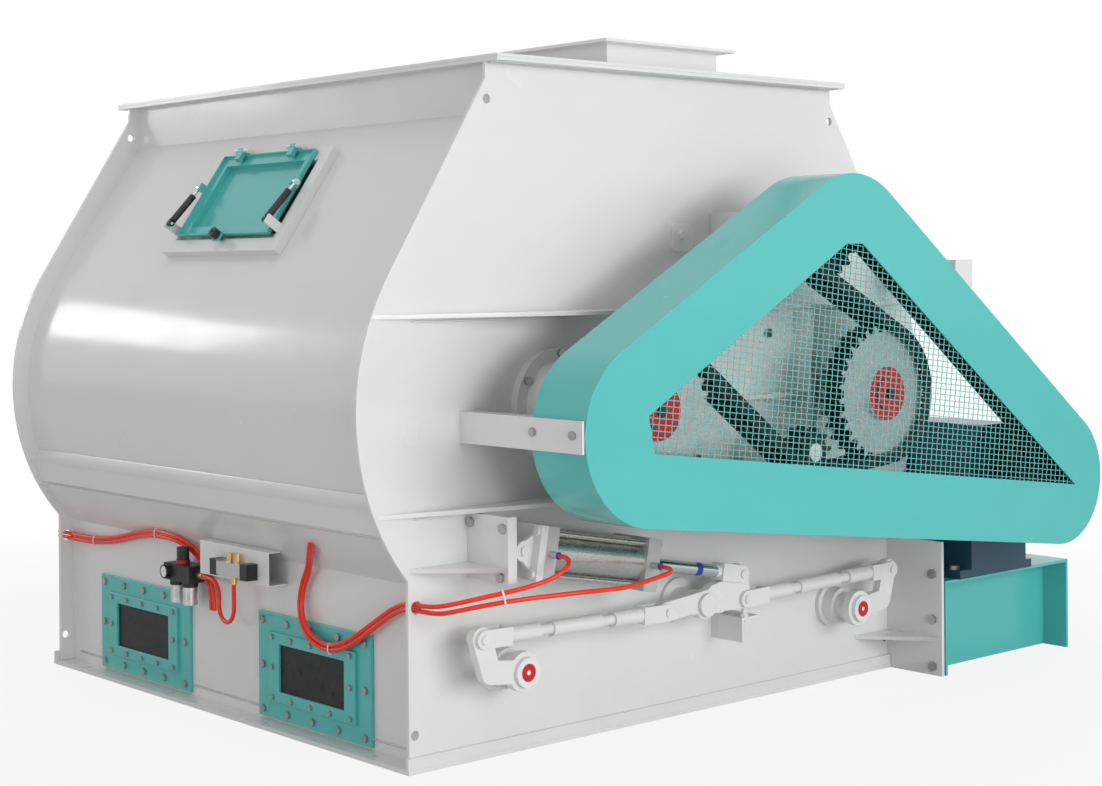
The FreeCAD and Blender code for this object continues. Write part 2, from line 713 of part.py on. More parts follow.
def chain_point(path, distance):
    for kind, data, length in path:
        if distance > length:
            distance -= length
            continue
        part = distance / length
        if kind == "line":
            start, end = data
            return (start[0] + part * (end[0] - start[0]), start[1] + part * (end[1] - start[1]))
        centre, radius, a0, sweep = data
        return polar(centre, radius, math.degrees(a0 + part * sweep))
    return chain_point(path, 0)


def band_wire(path, offset):
    """The pitch line moved outwards by offset, as one closed outline."""
    curves = []
    for kind, data, length in path:
        if kind == "line":
            start, end = data
            run = math.hypot(end[0] - start[0], end[1] - start[1])
            right = ((end[1] - start[1]) / run, -(end[0] - start[0]) / run)
            a = (start[0] + offset * right[0], start[1] + offset * right[1])
            b = (end[0] + offset * right[0], end[1] + offset * right[1])
            curves.append(Part.LineSegment(flat(a), flat(b)))
        else:
            centre, radius, a0, sweep = data
            grown = radius + offset * (1 if sweep > 0 else -1)
            a1 = a0 + sweep
            curves.append(arc(centre, grown, math.degrees(min(a0, a1)), math.degrees(max(a0, a1))))
    return curves


def wheel_phase(path, index):
    """Angle of a chain pin near the middle of the wrap on one wheel."""
    before = sum(item[2] for item in path[:2 * index])
    arc_length = path[2 * index][2]
    total = sum(item[2] for item in path)
    count = round(total / size("chain_pitch"))
    step = total / count
    k = round((before + arc_length / 2) / step)
    point = chain_point(path, k * step)
    centre = path[2 * index][1][0]
    return math.degrees(math.atan2(point[1] - centre[1], point[0] - centre[0]))


def make_chain(path):
    """Two rows of pins between three lines of side plates."""
    half = size("chain_height") / 2
    plate = size("chain_plate")
    ring = wire_face(band_wire(path, half)).cut(wire_face(band_wire(path, -half)))
    middle = chain_y
    offsets = (-size("chain_row_pitch"), 0, size("chain_row_pitch"))
    shapes = []
    for offset in offsets:
        solid = ring.extrude(Vector(0, 0, plate))
        solid.Placement = Placement(Vector(0, middle + offset + plate / 2, 0), TO_XZ)
        shapes += [item.copy() for item in solid.Solids]
    total = sum(item[2] for item in path)
    count = round(total / size("chain_pitch"))
    reach = size("chain_row_pitch") + plate / 2
    for k in range(count):
        x, z = chain_point(path, k * total / count)
        shapes.append(rod_y(x, middle - reach, middle + reach, z, size("chain_pin_radius")))
    feature("drive_chain", shapes[0].multiFuse(shapes[1:]))


def make_sprockets(path):
    front = chain_y - size("hub_front_reach")
    back = chain_y + size("hub_front_reach")
    big = int(size("sprocket_teeth"))
    for label, x, index in (("sprocket_left", -spacing, 0), ("sprocket_right", spacing, 3)):
        wheel = sprocket(x, axis_z, big, wheel_phase(path, index), size("hub_radius"),
                         size("shaft_radius"), front + 4, back)
        cap = union([rod_y(x, front - 4, front + 4, axis_z, size("shaft_radius") - 2),
                     hexagon(x, front - 3, axis_z, 15, 10, (0, -1, 0))])
        feature(label, group([wheel, cap]))
    wheel = sprocket(size("drive_x"), size("drive_z"), int(size("pinion_teeth")), wheel_phase(path, 1),
                     68, 0, front + 10, back)
    shaft = rod_y(size("drive_x"), back - 1, reducer_front() + 30, size("drive_z"),
                  size("output_shaft_radius"))
    feature("drive_sprocket", union([wheel, shaft]))
    bore = size("idler_shaft_radius") + size("bearing_clearance")
    for name, index, hub in (("idler", 2, 60), ("tensioner", 4, 40)):
        wheel = sprocket(size(name + "_x"), size(name + "_z"), int(size(name + "_teeth")),
                         wheel_phase(path, index), hub, bore, front + 14, back)
        feature("chain_" + name, wheel)


# Guard over the chain drive

def guard_lobes():
    return [((size("guard_" + name + "_x"), size("guard_" + name + "_z")), size("guard_" + name + "_radius"))
            for name in ("left", "right", "top")]


def lobe_outline(inset):
    """The rounded triangle round the three lobes, pulled in by inset."""
    lobes = [(centre, radius - inset) for centre, radius in guard_lobes()]
    curves = []
    touches = []
    for k, (centre, radius) in enumerate(lobes):
        following, next_radius = lobes[(k + 1) % 3]
        dx = following[0] - centre[0]
        dz = following[1] - centre[1]
        lean = math.asin((next_radius - radius) / math.hypot(dx, dz))
        normal = math.degrees(math.atan2(dz, dx) - lean) - 90
        touches.append((polar(centre, radius, normal), polar(following, next_radius, normal), normal))
    for k, (centre, radius) in enumerate(lobes):
        a0 = touches[k - 1][2]
        a1 = touches[k][2]
        while a1 < a0:
            a1 += 360
        curves.append(arc(centre, radius, a0, a1))
        curves.append(Part.LineSegment(flat(touches[k][0]), flat(touches[k][1])))
    return curves


def guard_opening(grow):
    """The window in the guard's face: three sides inside the lobes' outline."""
    inset = size("guard_frame_width") - grow
    lobes = guard_lobes()
    sides = []
    for k, (centre, radius) in enumerate(lobes):
        following, next_radius = lobes[(k + 1) % 3]
        dx = following[0] - centre[0]
        dz = following[1] - centre[1]
        lean = math.asin((next_radius - radius) / math.hypot(dx, dz))
        normal = math.atan2(dz, dx) - lean - math.pi / 2
        sides.append((math.cos(normal), math.sin(normal),
                      centre[0] * math.cos(normal) + centre[1] * math.sin(normal) + radius - inset))

    def cross(one, two):
        det = one[0] * two[1] - one[1] * two[0]
        return ((one[2] * two[1] - one[1] * two[2]) / det, (one[0] * two[2] - one[2] * two[0]) / det)

    bottom, right, left = sides
    (left_x, left_z), left_radius = lobes[0]
    (top_x, top_z), top_radius = lobes[2]
    flat_top = (0.0, 1.0, top_z + top_radius - size("guard_top_band") + grow)
    tilt = math.radians(192)
    x, z = left_x - 24, left_z + 53
    flat_left = (math.cos(tilt), math.sin(tilt), x * math.cos(tilt) + z * math.sin(tilt) + grow)
    return [cross(bottom, right), cross(right, flat_top), cross(flat_top, left), cross(left, flat_left),
            cross(flat_left, bottom)]


def make_guard():
    wall = size("guard_wall")
    front = guard_y
    depth = size("guard_depth")
    outer = upright(lobe_outline(0), front, depth)
    inner = upright(lobe_outline(wall), front + wall, depth)
    shell = outer.cut(inner)
    window = upright(lines(guard_opening(0)), front - 1, wall + 2)
    lip_width = 30
    lip_face = wire_face(lobe_outline(wall - 0.5)).cut(wire_face(lobe_outline(wall + lip_width)))
    lip = lip_face.extrude(Vector(0, 0, wall))
    lip.Placement = Placement(Vector(0, front + depth, 0), TO_XZ)
    feature("guard_cover", union([shell.cut(window)] + [item.copy() for item in lip.Solids]))
    lap = size("guard_mesh_lap")
    mesh = upright(lines(guard_opening(lap)), front + wall, 2 * size("guard_mesh_wire"))
    feature("guard_mesh", mesh)


def make_guard_brackets():
    """Channels that carry the guard: one at its left lobe, two behind its upper right edge."""
    (left_x, left_z), left_radius = guard_lobes()[0]
    wall = size("bracket_wall")
    high = size("bracket_height")
    foot = size("bracket_foot_height")
    flange = size("bracket_flange")
    outer_x = left_x - left_radius - size("seat_clearance")
    front = guard_y + 4
    back = guard_y + size("guard_depth") + 2
    web = block((outer_x - wall, front, foot), (outer_x, -half_length, foot + high))
    pieces = [web]
    for z in (foot, foot + high - wall):
        pieces.append(block((outer_x - wall, back, z), (outer_x + flange, -half_length, z + wall)))
    left = union(pieces)
    (top_x, top_z), top_radius = guard_lobes()[2]
    (right_x, right_z), right_radius = guard_lobes()[1]
    fall = math.atan2(right_z - top_z, right_x - top_x)
    fall -= math.asin((right_radius - top_radius) / math.hypot(right_x - top_x, right_z - top_z))

    def skin(x):
        start_x = top_x - (top_radius + 0.3) * math.sin(fall)
        start_z = top_z + (top_radius + 0.3) * math.cos(fall)
        return start_z + (x - start_x) * math.tan(fall)

    x, z = size("bracket_right_x"), size("bracket_right_z")
    ends = [(x - 8, skin(x - 8)), (x + 50, skin(x + 50)), (x + 80, z + 7), (x + 80, z + high),
            (x, z + high), (x - 8, z + 17)]
    near = front + size("guard_depth") - 40
    right = union([upright(lines(ends), near, wall),
                   block((x, near, z), (x + 80, -half_length, z + wall)),
                   block((x, near, z), (x + wall, -half_length, z + high))])
    feature("guard_brackets", group([left, right]))


def make_drive_bracket():
    """Box of plates between the drive end ribs; it carries the idler and the tensioner."""
    low = size("rib_lower_height") + size("rib_thickness")
    high = size("rib_upper_height")
    face = -half_length - 100
    wall = 12
    root = -half_length
    left, right = -60, 384
    pieces = [
        block((left, face - wall, low), (right, face, high)),
        block((right - wall, face - wall - 68, low), (right, face, high)),
        block((left, face, low), (left + wall, root, high)),
        block((278, face, low), (290, root, high)),
        block((left, face - 62, 877), (right, face, 889)),
    ]
    tower_foot = high + size("rib_thickness")
    tower_top = size("idler_z") + 70
    x = size("idler_x")
    tower = [
        block((x - 74, face - wall, tower_foot), (x + 74, face, tower_top)),
        block((x - 74, face, tower_foot), (x - 62, root, tower_top)),
        block((x + 62, face, tower_foot), (x + 74, root, tower_top)),
    ]
    shaft = size("idler_shaft_radius")
    front = chain_y - size("hub_front_reach") + 10
    collar = chain_y + size("hub_front_reach") + 1
    for name, group_of in (("tensioner", pieces), ("idler", tower)):
        x, z = size(name + "_x"), size(name + "_z")
        group_of.append(rod_y(x, front, face - wall + 1, z, shaft))
        group_of.append(rod_y(x, collar, face - wall + 1, z, shaft + 9))
    feature("drive_bracket", group([union(pieces), union(tower)]))


def reducer_front():
    return motor_base_y - 37


def make_drive_unit():
    x, z = size("drive_x"), size("drive_z")
    base = size("motor_base_height")
    front = reducer_front()
    half = size("reducer_half_width")
    back = front + size("reducer_length")
    trunk = half - 44
    body = [(x - trunk, base + 25), (x + trunk, base + 25), (x + trunk, z + 60),
            (x + trunk - 60, z + 150), (x - trunk + 60, z + 150), (x - trunk, z + 60)]
    pieces = [upright(lines(body), front + 15, size("reducer_length") - 15),
              rod_y(x, front, front + 40, z, 112),
              block((x - half, front + 25, base), (x + half, front + 95, base + 26)),
              block((x - half, back - 85, base), (x + half, back - 15, base + 26))]
    gear = union(pieces)
    gear = gear.cut(rod_y(x, front - 1, front + 34, z, size("output_shaft_radius") + 0.05))
    feature("gear_unit", gear)
    radius = size("motor_radius")
    far = back + size("motor_length")
    parts = [rod_y(x, back, back + 24, z, radius), rod_y(x, back + 20, far - 70, z, radius - 22),
             rod_y(x, far - 74, far, z, radius - 4),
             block((x - 60, back + 70, z + radius - 40), (x + 60, back + 210, z + radius + 55))]
    for k in range(24):
        fin = Part.makeBox(4, far - 100 - back, radius - 8, Vector(x - 2, back + 20, z))
        fin.rotate(Vector(x, back, z), Vector(0, 1, 0), 15 * k + 7.5)
        parts.append(fin)
    feature("motor", union(parts))


def make_motor_base():
    left = size("base_flange_half") + size("motor_base_gap")
    right = left + size("motor_base_width")
    front = motor_base_y
    back = front + size("motor_base_length")
    top = size("motor_base_height")
    wall = size("motor_base_wall")
    flange = size("motor_base_flange")
    face = front + size("motor_base_recess")
    pieces = [
        block((left, front, top - wall), (right, back, top)),
        block((left, front, 0), (left + wall, back, top)),
        block((right - wall, front, 0), (right, back, top)),
        block((left, face, 0), (right, face + wall, top)),
        block((left, back - wall, 0), (right, back, top)),
        block((right - flange - wall, face, 0), (right, back, wall)),
        block((left, face, 0), (left + flange, back, wall)),
    ]
    feature("motor_base", union(pieces))
    x = size("side_wall_x")
    thick = size("side_wall_thickness")
    high = size("side_wall_height")
    strip = size("base_strip_height") + 0.3
    edge = -half_length - size("base_flange_reach") - 0.3
    wall_plate = union([block((x, front, 0), (x + thick, edge, high)),
                        block((x, edge - 1, strip), (x + thick, -half_length, high))])
    gusset = level(lines([(x, -half_length), (x - 158, -half_length), (x, front + 4)]), 106, thick)
    lug = block((x - 30, -half_length - 90, high), (x + thick, -half_length - 20, high + 8))
    feature("side_bracket", group([union([wall_plate, gusset, lug])]))


# Discharge doors and their linkage

def slot_shape(a, b, radius, y_low, y_high):
    """A flat bar between two points with round ends."""
    dx, dz = b[0] - a[0], b[1] - a[1]
    run = math.hypot(dx, dz)
    nx, nz = -dz / run * radius, dx / run * radius
    bar = upright(lines([(a[0] + nx, a[1] + nz), (b[0] + nx, b[1] + nz),
                         (b[0] - nx, b[1] - nz), (a[0] - nx, a[1] - nz)]), y_low, y_high - y_low)
    return [bar, rod_y(a[0], y_low, y_high, a[1], radius), rod_y(b[0], y_low, y_high, b[1], radius)]


def link_layer():
    middle = link_y
    half = size("link_plate") / 2
    return middle - half, middle + half


def door_shapes():
    outer = size("shell_radius")
    inner = outer - size("door_wall")
    start = -size("door_outer_angle")
    tip = -(180 - math.degrees(math.acos((spacing - size("door_edge_half")) / outer)))
    reach = inner_y - size("door_end_gap")
    outline = [arc(trough, outer, tip, start), arc(trough, inner, tip, start)]
    outline += lines([polar(trough, outer, start), polar(trough, inner, start)], closed=False)
    outline += lines([polar(trough, outer, tip), polar(trough, inner, tip)], closed=False)
    leaf = upright(outline, -reach, 2 * reach)
    seat = outer + size("seat_clearance")
    low, high = link_layer()
    shaft = rod_y(door_axis[0], low - 12, half_length + size("door_bearing_length") + 8,
                  door_axis[1], size("door_shaft_radius"))
    frame = [shaft, rod_y(door_axis[0], -reach, reach, door_axis[1], size("door_shaft_radius") + 6)]
    thick = size("door_rib_thickness")
    count = int(size("door_rib_count"))
    low_edge, far_edge = start - 2, tip + 4
    turns = [low_edge + k * (far_edge - low_edge) / 8 for k in range(9)]
    back = [polar(trough, seat + 6 + 8 * (8 - k), turns[k]) for k in range(8, 2, -1)]
    hub = size("door_shaft_radius") + 18
    chain = [polar(trough, seat, far_edge)] + back
    chain += [polar(door_axis, hub - 2, 235), polar(door_axis, hub - 2, 25), polar(trough, seat, low_edge)]
    web = [arc(trough, seat, far_edge, low_edge)] + lines(chain, closed=False)
    for k in range(count):
        y = -reach + 60 + k * (2 * reach - 120) / (count - 1)
        frame.append(upright(web, y - thick / 2, thick))
        frame.append(rod_y(door_axis[0], y - thick / 2, y + thick / 2, door_axis[1], hub))
    return group([leaf, union(frame)])


def crank_shapes():
    low, high = link_layer()
    pin = (door_axis[0] + size("crank_reach"), door_axis[1] + size("crank_rise"))
    bulge = (door_axis[0] + 112, door_axis[1] + 14)
    pieces = [rod_y(door_axis[0], low, high, door_axis[1], size("crank_hub_radius"))]
    pieces += slot_shape(door_axis, bulge, 30, low, high)
    pieces += slot_shape(bulge, pin, size("crank_end_radius"), low, high)
    crank = union(pieces)
    crank = crank.cut(rod_y(door_axis[0], low - 1, high + 1, door_axis[1], size("door_shaft_radius")))
    return crank.cut(rod_y(pin[0], low - 1, high + 1, pin[1], size("link_pin_radius")))


def make_doors():
    door = door_shapes()
    feature("discharge_door_right", door)
    feature("discharge_door_left", mirrored(door))
    crank = crank_shapes()
    feature("crank_right", crank)
    feature("crank_left", mirrored(crank))


def rocker_pins():
    z = size("rocker_height")
    arm = size("rocker_arm")
    drop = size("rocker_pin_drop")
    return (-arm, z - drop), (arm, z - drop), (size("rocker_lug_x"), z + size("rocker_lug_z"))


def make_rocker():
    low, high = link_layer()
    left, right, lug = rocker_pins()
    z = size("rocker_height")
    pieces = slot_shape(left, (0, z + 12), 27, low, high)
    pieces += slot_shape((0, z + 4), right, 27, low, high)
    pieces += slot_shape(right, lug, 27, low, high)
    pieces.append(upright(lines([(-60, z - 20), (60, z - 30), right, lug, (20, z + 50)]), low, high - low))
    pieces.append(rod_y(0, low, high, z, size("rocker_boss_radius")))
    rocker = union(pieces)
    rocker = rocker.cut(rod_y(0, low - 1, high + 1, z, size("rocker_pin_radius") + 0.05))
    for pin in (left, right):
        rocker = rocker.cut(rod_y(pin[0], low - 1, high + 1, pin[1], size("link_pin_radius") + 0.05))
    rocker = rocker.cut(rod_y(lug[0], low - 1, high + 1, lug[1], size("link_pin_radius")))
    feature("rocker", rocker)
    post = [rod_y(0, -half_length - 12, -half_length, z, 62),
            rod_y(0, high + 1, -half_length - 10, z, 36),
            rod_y(0, low - 5, high + 2, z, size("rocker_pin_radius")),
            rod_y(0, low - 12, low - 1, z, 32)]
    feature("rocker_post", union(post))
    make_stop(right)


def make_stop(pin):
    """Bracket with an adjusting bolt under the rocker's arm."""
    x, top = size("stop_x"), size("stop_height")
    front = link_y - 15
    wall = 8
    under = pin[1] - 27 - size("seat_clearance")
    stop = [block((x, front, top - size("stop_drop")), (x + wall, -half_length, top)),
            block((x, front, top - wall), (x + size("stop_width"), -half_length, top)),
            rod_z(pin[0] + 8, link_y, top - 34, under, 7),
            hexagon(pin[0] + 8, link_y, top - 1, 13, 9, (0, 0, 1)),
            hexagon(pin[0] + 8, link_y, top - wall + 1, 13, 9, (0, 0, -1))]
    feature("stop_bracket", union(stop))


def fork(at, heading, stem_radius, length, pinned):
    """A two-ear fork at a pin; heading points from the pin along the rod."""
    low, high = link_layer()
    ear = size("fork_ear")
    gap = size("fork_gap")
    half = size("fork_height") / 2
    depth = size("fork_depth")
    middle = link_y
    pieces = []
    for y_low, y_high in ((low - gap - ear, low - gap), (high + gap, high + gap + ear)):
        pieces.append(block((0, y_low, -half), (depth + 14, y_high, half)))
        pieces.append(rod_y(0, y_low, y_high, 0, half))
    pieces.append(block((depth, low - gap - ear, -half), (depth + 14, high + gap + ear, half)))
    pieces.append(rod_x(depth + 10, length, middle, 0, stem_radius))
    pieces.append(rod_x(depth + 2, size("fork_tube_reach"), middle, 0, size("fork_tube_radius")))
    if pinned:
        pieces.append(rod_y(0, low - gap - ear - 6, high + gap + ear + 6, 0, size("link_pin_radius")))
    else:
        for y in (low - gap - ear - 6, high + gap + ear - 1):
            pieces.append(rod_y(0, y, y + 7, 0, size("link_pin_radius")))
    shape = union(pieces)
    shape.rotate(Vector(0, middle, 0), Vector(0, 1, 0), -heading)
    shape.translate(Vector(at[0], 0, at[1]))
    return shape


def make_tie_rods():
    left, right, lug = rocker_pins()
    for label, pin, side in (("tie_rod_left", left, -1), ("tie_rod_right", right, 1)):
        end = (side * (door_axis[0] + size("crank_reach")), door_axis[1] + size("crank_rise"))
        dx, dz = end[0] - pin[0], end[1] - pin[1]
        heading = math.degrees(math.atan2(dz, dx))
        run = math.hypot(dx, dz)
        radius = size("tie_rod_radius")
        near = fork(pin, heading, radius, run / 2 + 1, True)
        far = fork(end, heading + 180, radius, run / 2 + 1, False)
        half = size("turnbuckle_half")
        sleeve = rod_x(run / 2 - half, run / 2 + half, link_y, 0, size("turnbuckle_radius"))
        sleeve.rotate(Vector(0, link_y, 0), Vector(0, 1, 0), -heading)
        sleeve.translate(Vector(pin[0], 0, pin[1]))
        feature(label, union([near, far, sleeve]))


def cylinder_frame():
    left, right, lug = rocker_pins()
    pivot = (size("cylinder_pivot_x"), size("cylinder_pivot_z"))
    dx, dz = lug[0] - pivot[0], lug[1] - pivot[1]
    return pivot, math.degrees(math.atan2(dz, dx)), math.hypot(dx, dz)


def along_cylinder(shape):
    pivot, heading, reach = cylinder_frame()
    shape.rotate(Vector(0, 0, 0), Vector(0, 1, 0), -heading)
    shape.translate(Vector(pivot[0], link_y, pivot[1]))
    return shape


def cylinder_stations():
    a = size("cylinder_eye_reach")
    b = a + size("cylinder_rear_cap")
    c = b + size("cylinder_tube")
    return a, b, c, c + size("cylinder_front_cap")


def make_cylinder():
    pivot, heading, reach = cylinder_frame()
    a, b, c, d = cylinder_stations()
    half = size("cylinder_cap") / 2
    pin = size("cylinder_pin_radius")
    tube = rod_x(b - 4, c + 4, 0, 0, size("cylinder_tube_radius"))
    pieces = [block((a, -half, -half), (b, half, half)), block((c, -half, -half), (d, half, half)), tube,
              block((a - size("cylinder_foot_wall"), -half, -half), (a + 1, half, half)),
              rod_y(0, -48, 48, 0, pin), rod_x(d - 1, d + 14, 0, 0, 34)]
    foot = a - size("cylinder_foot_wall") + 1
    for y in (-42, 28):
        pieces.append(rod_y(0, y, y + 14, 0, 26))
        pieces.append(upright(lines([(0, -26), (foot, -46), (foot, 46), (0, 26)]), y, 14))
        for z in (-54, 54):
            pieces.append(hexagon(foot, math.copysign(54, y), z, 12, 10, (-1, 0, 0)))
    for y in (-54, 54):
        for z in (-54, 54):
            pieces.append(rod_x(b - 2, d + 10, y, z, 8))
    for x in ((a + b) / 2, (c + d) / 2):
        pieces.append(rod_y(x, -half - size("port_reach"), 1 - half, 0, size("fitting_radius")))
    barrel = union(pieces)
    barrel = barrel.cut(rod_x(b, c, 0, 0, size("cylinder_bore_radius")))
    barrel = barrel.cut(rod_x(c - 1, d + 20, 0, 0, size("rod_radius") + 0.05))
    feature("cylinder_barrel", along_cylinder(barrel))
    low, high = link_layer()
    ear = size("fork_ear")
    gap = size("fork_gap")
    middle = link_y
    rod = [rod_x(c - 40, c - 10, 0, 0, size("cylinder_bore_radius") - 0.3),
           rod_x(c - 20, reach - size("rod_fork_reach") + 6, 0, 0, size("rod_radius"))]
    depth = size("rod_fork_reach") - 14
    for y_low, y_high in ((low - gap - ear, low - gap), (high + gap, high + gap + ear)):
        rod.append(block((reach - depth - 14, y_low - middle, -24), (reach, y_high - middle, 24)))
        rod.append(rod_y(reach, y_low - middle, y_high - middle, 0, 24))
    rod.append(block((reach - depth - 14, low - gap - ear - middle, -24),
                     (reach - depth, high + gap + ear - middle, 24)))
    for y in (low - gap - ear - 6, high + gap + ear - 1):
        rod.append(rod_y(reach, y - middle, y + 7 - middle, 0, size("link_pin_radius")))
    feature("piston_rod", along_cylinder(union(rod)))
    x = size("cylinder_bracket_x")
    tip = -half_length - size("cylinder_bracket_depth")
    foot = size("cylinder_bracket_foot")
    z = pivot[1]
    plate = block((x, tip, foot), (x + 12, -half_length, foot + 166))
    flange = block((x, tip, foot), (x + 29, tip + 12, foot + 166))
    gusset = level(lines([(x, -half_length), (x - 184, -half_length), (x, tip + 4)]), 494, 12)
    eye = size("cylinder_eye_radius")
    pieces = [plate, flange, gusset, rod_y(pivot[0], middle - 27, middle + 27, z, eye),
              block((x + 10, middle - 27, z - eye), (pivot[0], middle + 27, z + eye))]
    bracket = union(pieces)
    feature("cylinder_bracket", bracket.cut(rod_y(pivot[0], tip, -half_length, z, pin + 0.05)))


# Windows in the left lower panel

def window_ring(x_low, x_high, length, height, hole_length, hole_height):
    rings = []
    middle = size("window_centre_z")
    for side in (-1, 1):
        y = side * size("window_centre_y")
        ring = block((x_low, y - length / 2, middle - height / 2), (x_high, y + length / 2, middle + height / 2))
        hole = block((x_low - 1, y - hole_length / 2, middle - hole_height / 2),
                     (x_high + 1, y + hole_length / 2, middle + hole_height / 2))
        rings.append(ring.cut(hole))
    return rings


def bolt_ring(length, height):
    """Bolt places round a window: five above, five below and one at each side."""
    places = []
    for k in range(5):
        y = (k - 2) * length / 4
        places += [(y, height / 2), (y, -height / 2)]
    return places + [(-length / 2, 0), (length / 2, 0)]


def make_windows():
    wall = -size("panel_half_width")
    frame = wall - size("window_frame_wall")
    cover = frame - size("window_cover_wall")
    hole_length = size("cover_length") - 40
    hole_height = size("cover_height") - 40
    rings = window_ring(frame, wall, size("window_length"), size("window_height"), hole_length, hole_height)
    rings += window_ring(cover, frame, size("cover_length"), size("cover_height"),
                        size("pane_length"), size("pane_height"))
    feature("window_frames", group(rings))
    panes = []
    middle = size("window_centre_z")
    bolts = []
    for side in (-1, 1):
        y = side * size("window_centre_y")
        panes.append(block((frame, y - hole_length / 2 + 2, middle - hole_height / 2 + 2),
                           (frame + size("pane_wall"), y + hole_length / 2 - 2, middle + hole_height / 2 - 2)))
        for dy, dz in bolt_ring(size("window_length") - 50, size("window_height") - 44):
            bolts.append(hexagon(frame, y + dy, middle + dz, 11, size("window_bolt_head"), (-1, 0, 0)))
        for dy, dz in bolt_ring(size("cover_length") - 40, size("cover_height") - 26):
            bolts.append(hexagon(cover, y + dy, middle + dz, 8, size("window_bolt_head") - 1, (-1, 0, 0)))
    feature("window_panes", group(panes))
    return bolts


# Access door on the sloping left panel

def make_access():
    top, bottom, half = size("rail_top"), size("rail_bottom"), size("rail_half_width")
    width, tall = size("rail_width"), size("rail_height")
    frame = slope_block(top, bottom, -half, half, 0, tall)
    frame = frame.cut(slope_block(top + width, bottom - width, -half + width, half - width, -1, tall + 1))
    pieces = [frame]
    s, lift = size("hinge_slope"), size("hinge_lift")
    for side in (-1, 1):
        y = side * size("hinge_half_y")
        reach = size("hinge_length") / 2
        for low, high in ((y - reach, y - 14), (y + 14, y + reach)):
            pieces.append(slope_block(s - 7, s + 6, low, high, tall - 1, lift))
            pieces.append(slope_rod(s, lift, low, high, size("hinge_radius")))
        pieces.append(slope_rod(s, lift, y - reach - 3, y + reach + 3, size("hinge_pin_radius")))
        y = side * size("strut_half_y")
        foot, rise = size("strut_foot_slope"), size("strut_foot_lift")
        low, high = sorted((y + side * 11, y + side * 17))
        pieces.append(slope_block(foot - 14, foot + 14, low, high, tall - 1, rise + 8))
        low, high = sorted((y - side * 9, y + side * 12))
        pieces.append(slope_rod(foot, rise, low, high, size("strut_pin_radius")))
    feature("access_frame", union(pieces))
    top = size("access_top")
    bottom = top + size("access_length")
    half = size("access_half_width")
    low, high = size("door_rim_low"), size("door_rim_high")
    sheet_wall = size("door_sheet")
    pan_top, pan_bottom, pan_half = pan_reach()
    leaf = slope_block(top, bottom, -half, half, low, high)
    leaf = leaf.cut(slope_block(top + sheet_wall, bottom - sheet_wall, -half + sheet_wall,
                                half - sheet_wall, low + sheet_wall, high + 1))
    pan = slope_block(pan_top, pan_bottom, -pan_half, pan_half, size("pan_floor"), low + sheet_wall)
    hollow = slope_block(pan_top + sheet_wall, pan_bottom - sheet_wall, -pan_half + sheet_wall,
                         pan_half - sheet_wall, size("pan_floor") + sheet_wall, low + sheet_wall + 1)
    pieces = [union([leaf, pan]).cut(hollow)]
    for side in (-1, 1):
        y = side * size("hinge_half_y")
        pieces.append(slope_block(s, top + 26, y - 13, y + 13, high - 2, lift + 4))
        pieces.append(slope_rod(s, lift, y - 13, y + 13, size("hinge_radius")))
        head, rise = size("strut_head_slope"), size("strut_head_lift")
        near, far = sorted((side * (half - 2), side * (size("strut_half_y") - 8)))
        pieces.append(slope_block(head - 12, head + 12, near, far, low, rise + 10))
    knob = size("knob_slope")
    pieces.append(slope_block(bottom - 3, knob + 16, -16, 16, high - 2, high + 6))
    door = union(pieces)
    for side in (-1, 1):
        y = side * size("hinge_half_y")
        door = door.cut(slope_rod(s, lift, y - 14, y + 14, size("hinge_pin_radius") + 0.05))
    x, z = on_slope(knob, low + 4)
    stem = Part.makeCylinder(4, 40, Vector(x, 0, z), Vector(*SLOPE_OUT))
    hole = Part.makeCylinder(4.05, 40, Vector(x, 0, z), Vector(*SLOPE_OUT))
    feature("access_door", door.cut(hole))
    x, z = on_slope(knob, high + 7)
    grip = Part.makeCylinder(size("knob_radius"), size("knob_height"), Vector(x, 0, z), Vector(*SLOPE_OUT))
    x, z = on_slope(knob, low + 2)
    nut = Part.makeCylinder(7, 9, Vector(x, 0, z), Vector(*SLOPE_OUT))
    feature("latch_knob", union([stem, grip, nut]))
    tubes = []
    rods = []
    for side in (-1, 1):
        y = side * size("strut_half_y")
        foot_x, foot_z = on_slope(size("strut_foot_slope"), size("strut_foot_lift"))
        head_x, head_z = on_slope(size("strut_head_slope"), size("strut_head_lift"))
        way = Vector(head_x - foot_x, 0, head_z - foot_z)
        run = way.Length
        way.normalize()
        foot = Vector(foot_x, y, foot_z)
        tube = [Part.makeCylinder(size("strut_radius"), size("strut_tube_length") - 10, foot + way * 10, way),
                rod_y(foot_x, y - 7, y + 7, foot_z, 9)]
        tube = union(tube)
        tube = tube.cut(Part.makeCylinder(size("strut_rod_radius") + 0.3, size("strut_tube_length"),
                                          foot + way * 12, way))
        tube = tube.cut(rod_y(foot_x, y - 10, y + 10, foot_z, size("strut_pin_radius") + 0.05))
        tubes.append(tube)
        rod = [Part.makeCylinder(size("strut_rod_radius"), run - 16, foot + way * 16, way),
               rod_y(head_x, y - 7, y + 7, head_z, 9), rod_y(head_x, *sorted((y, y + side * 12)), head_z, 5)]
        rods.append(union(rod))
    feature("strut_tubes", group(tubes))
    feature("strut_rods", group(rods))


# Compressed air units and hoses on the left panel

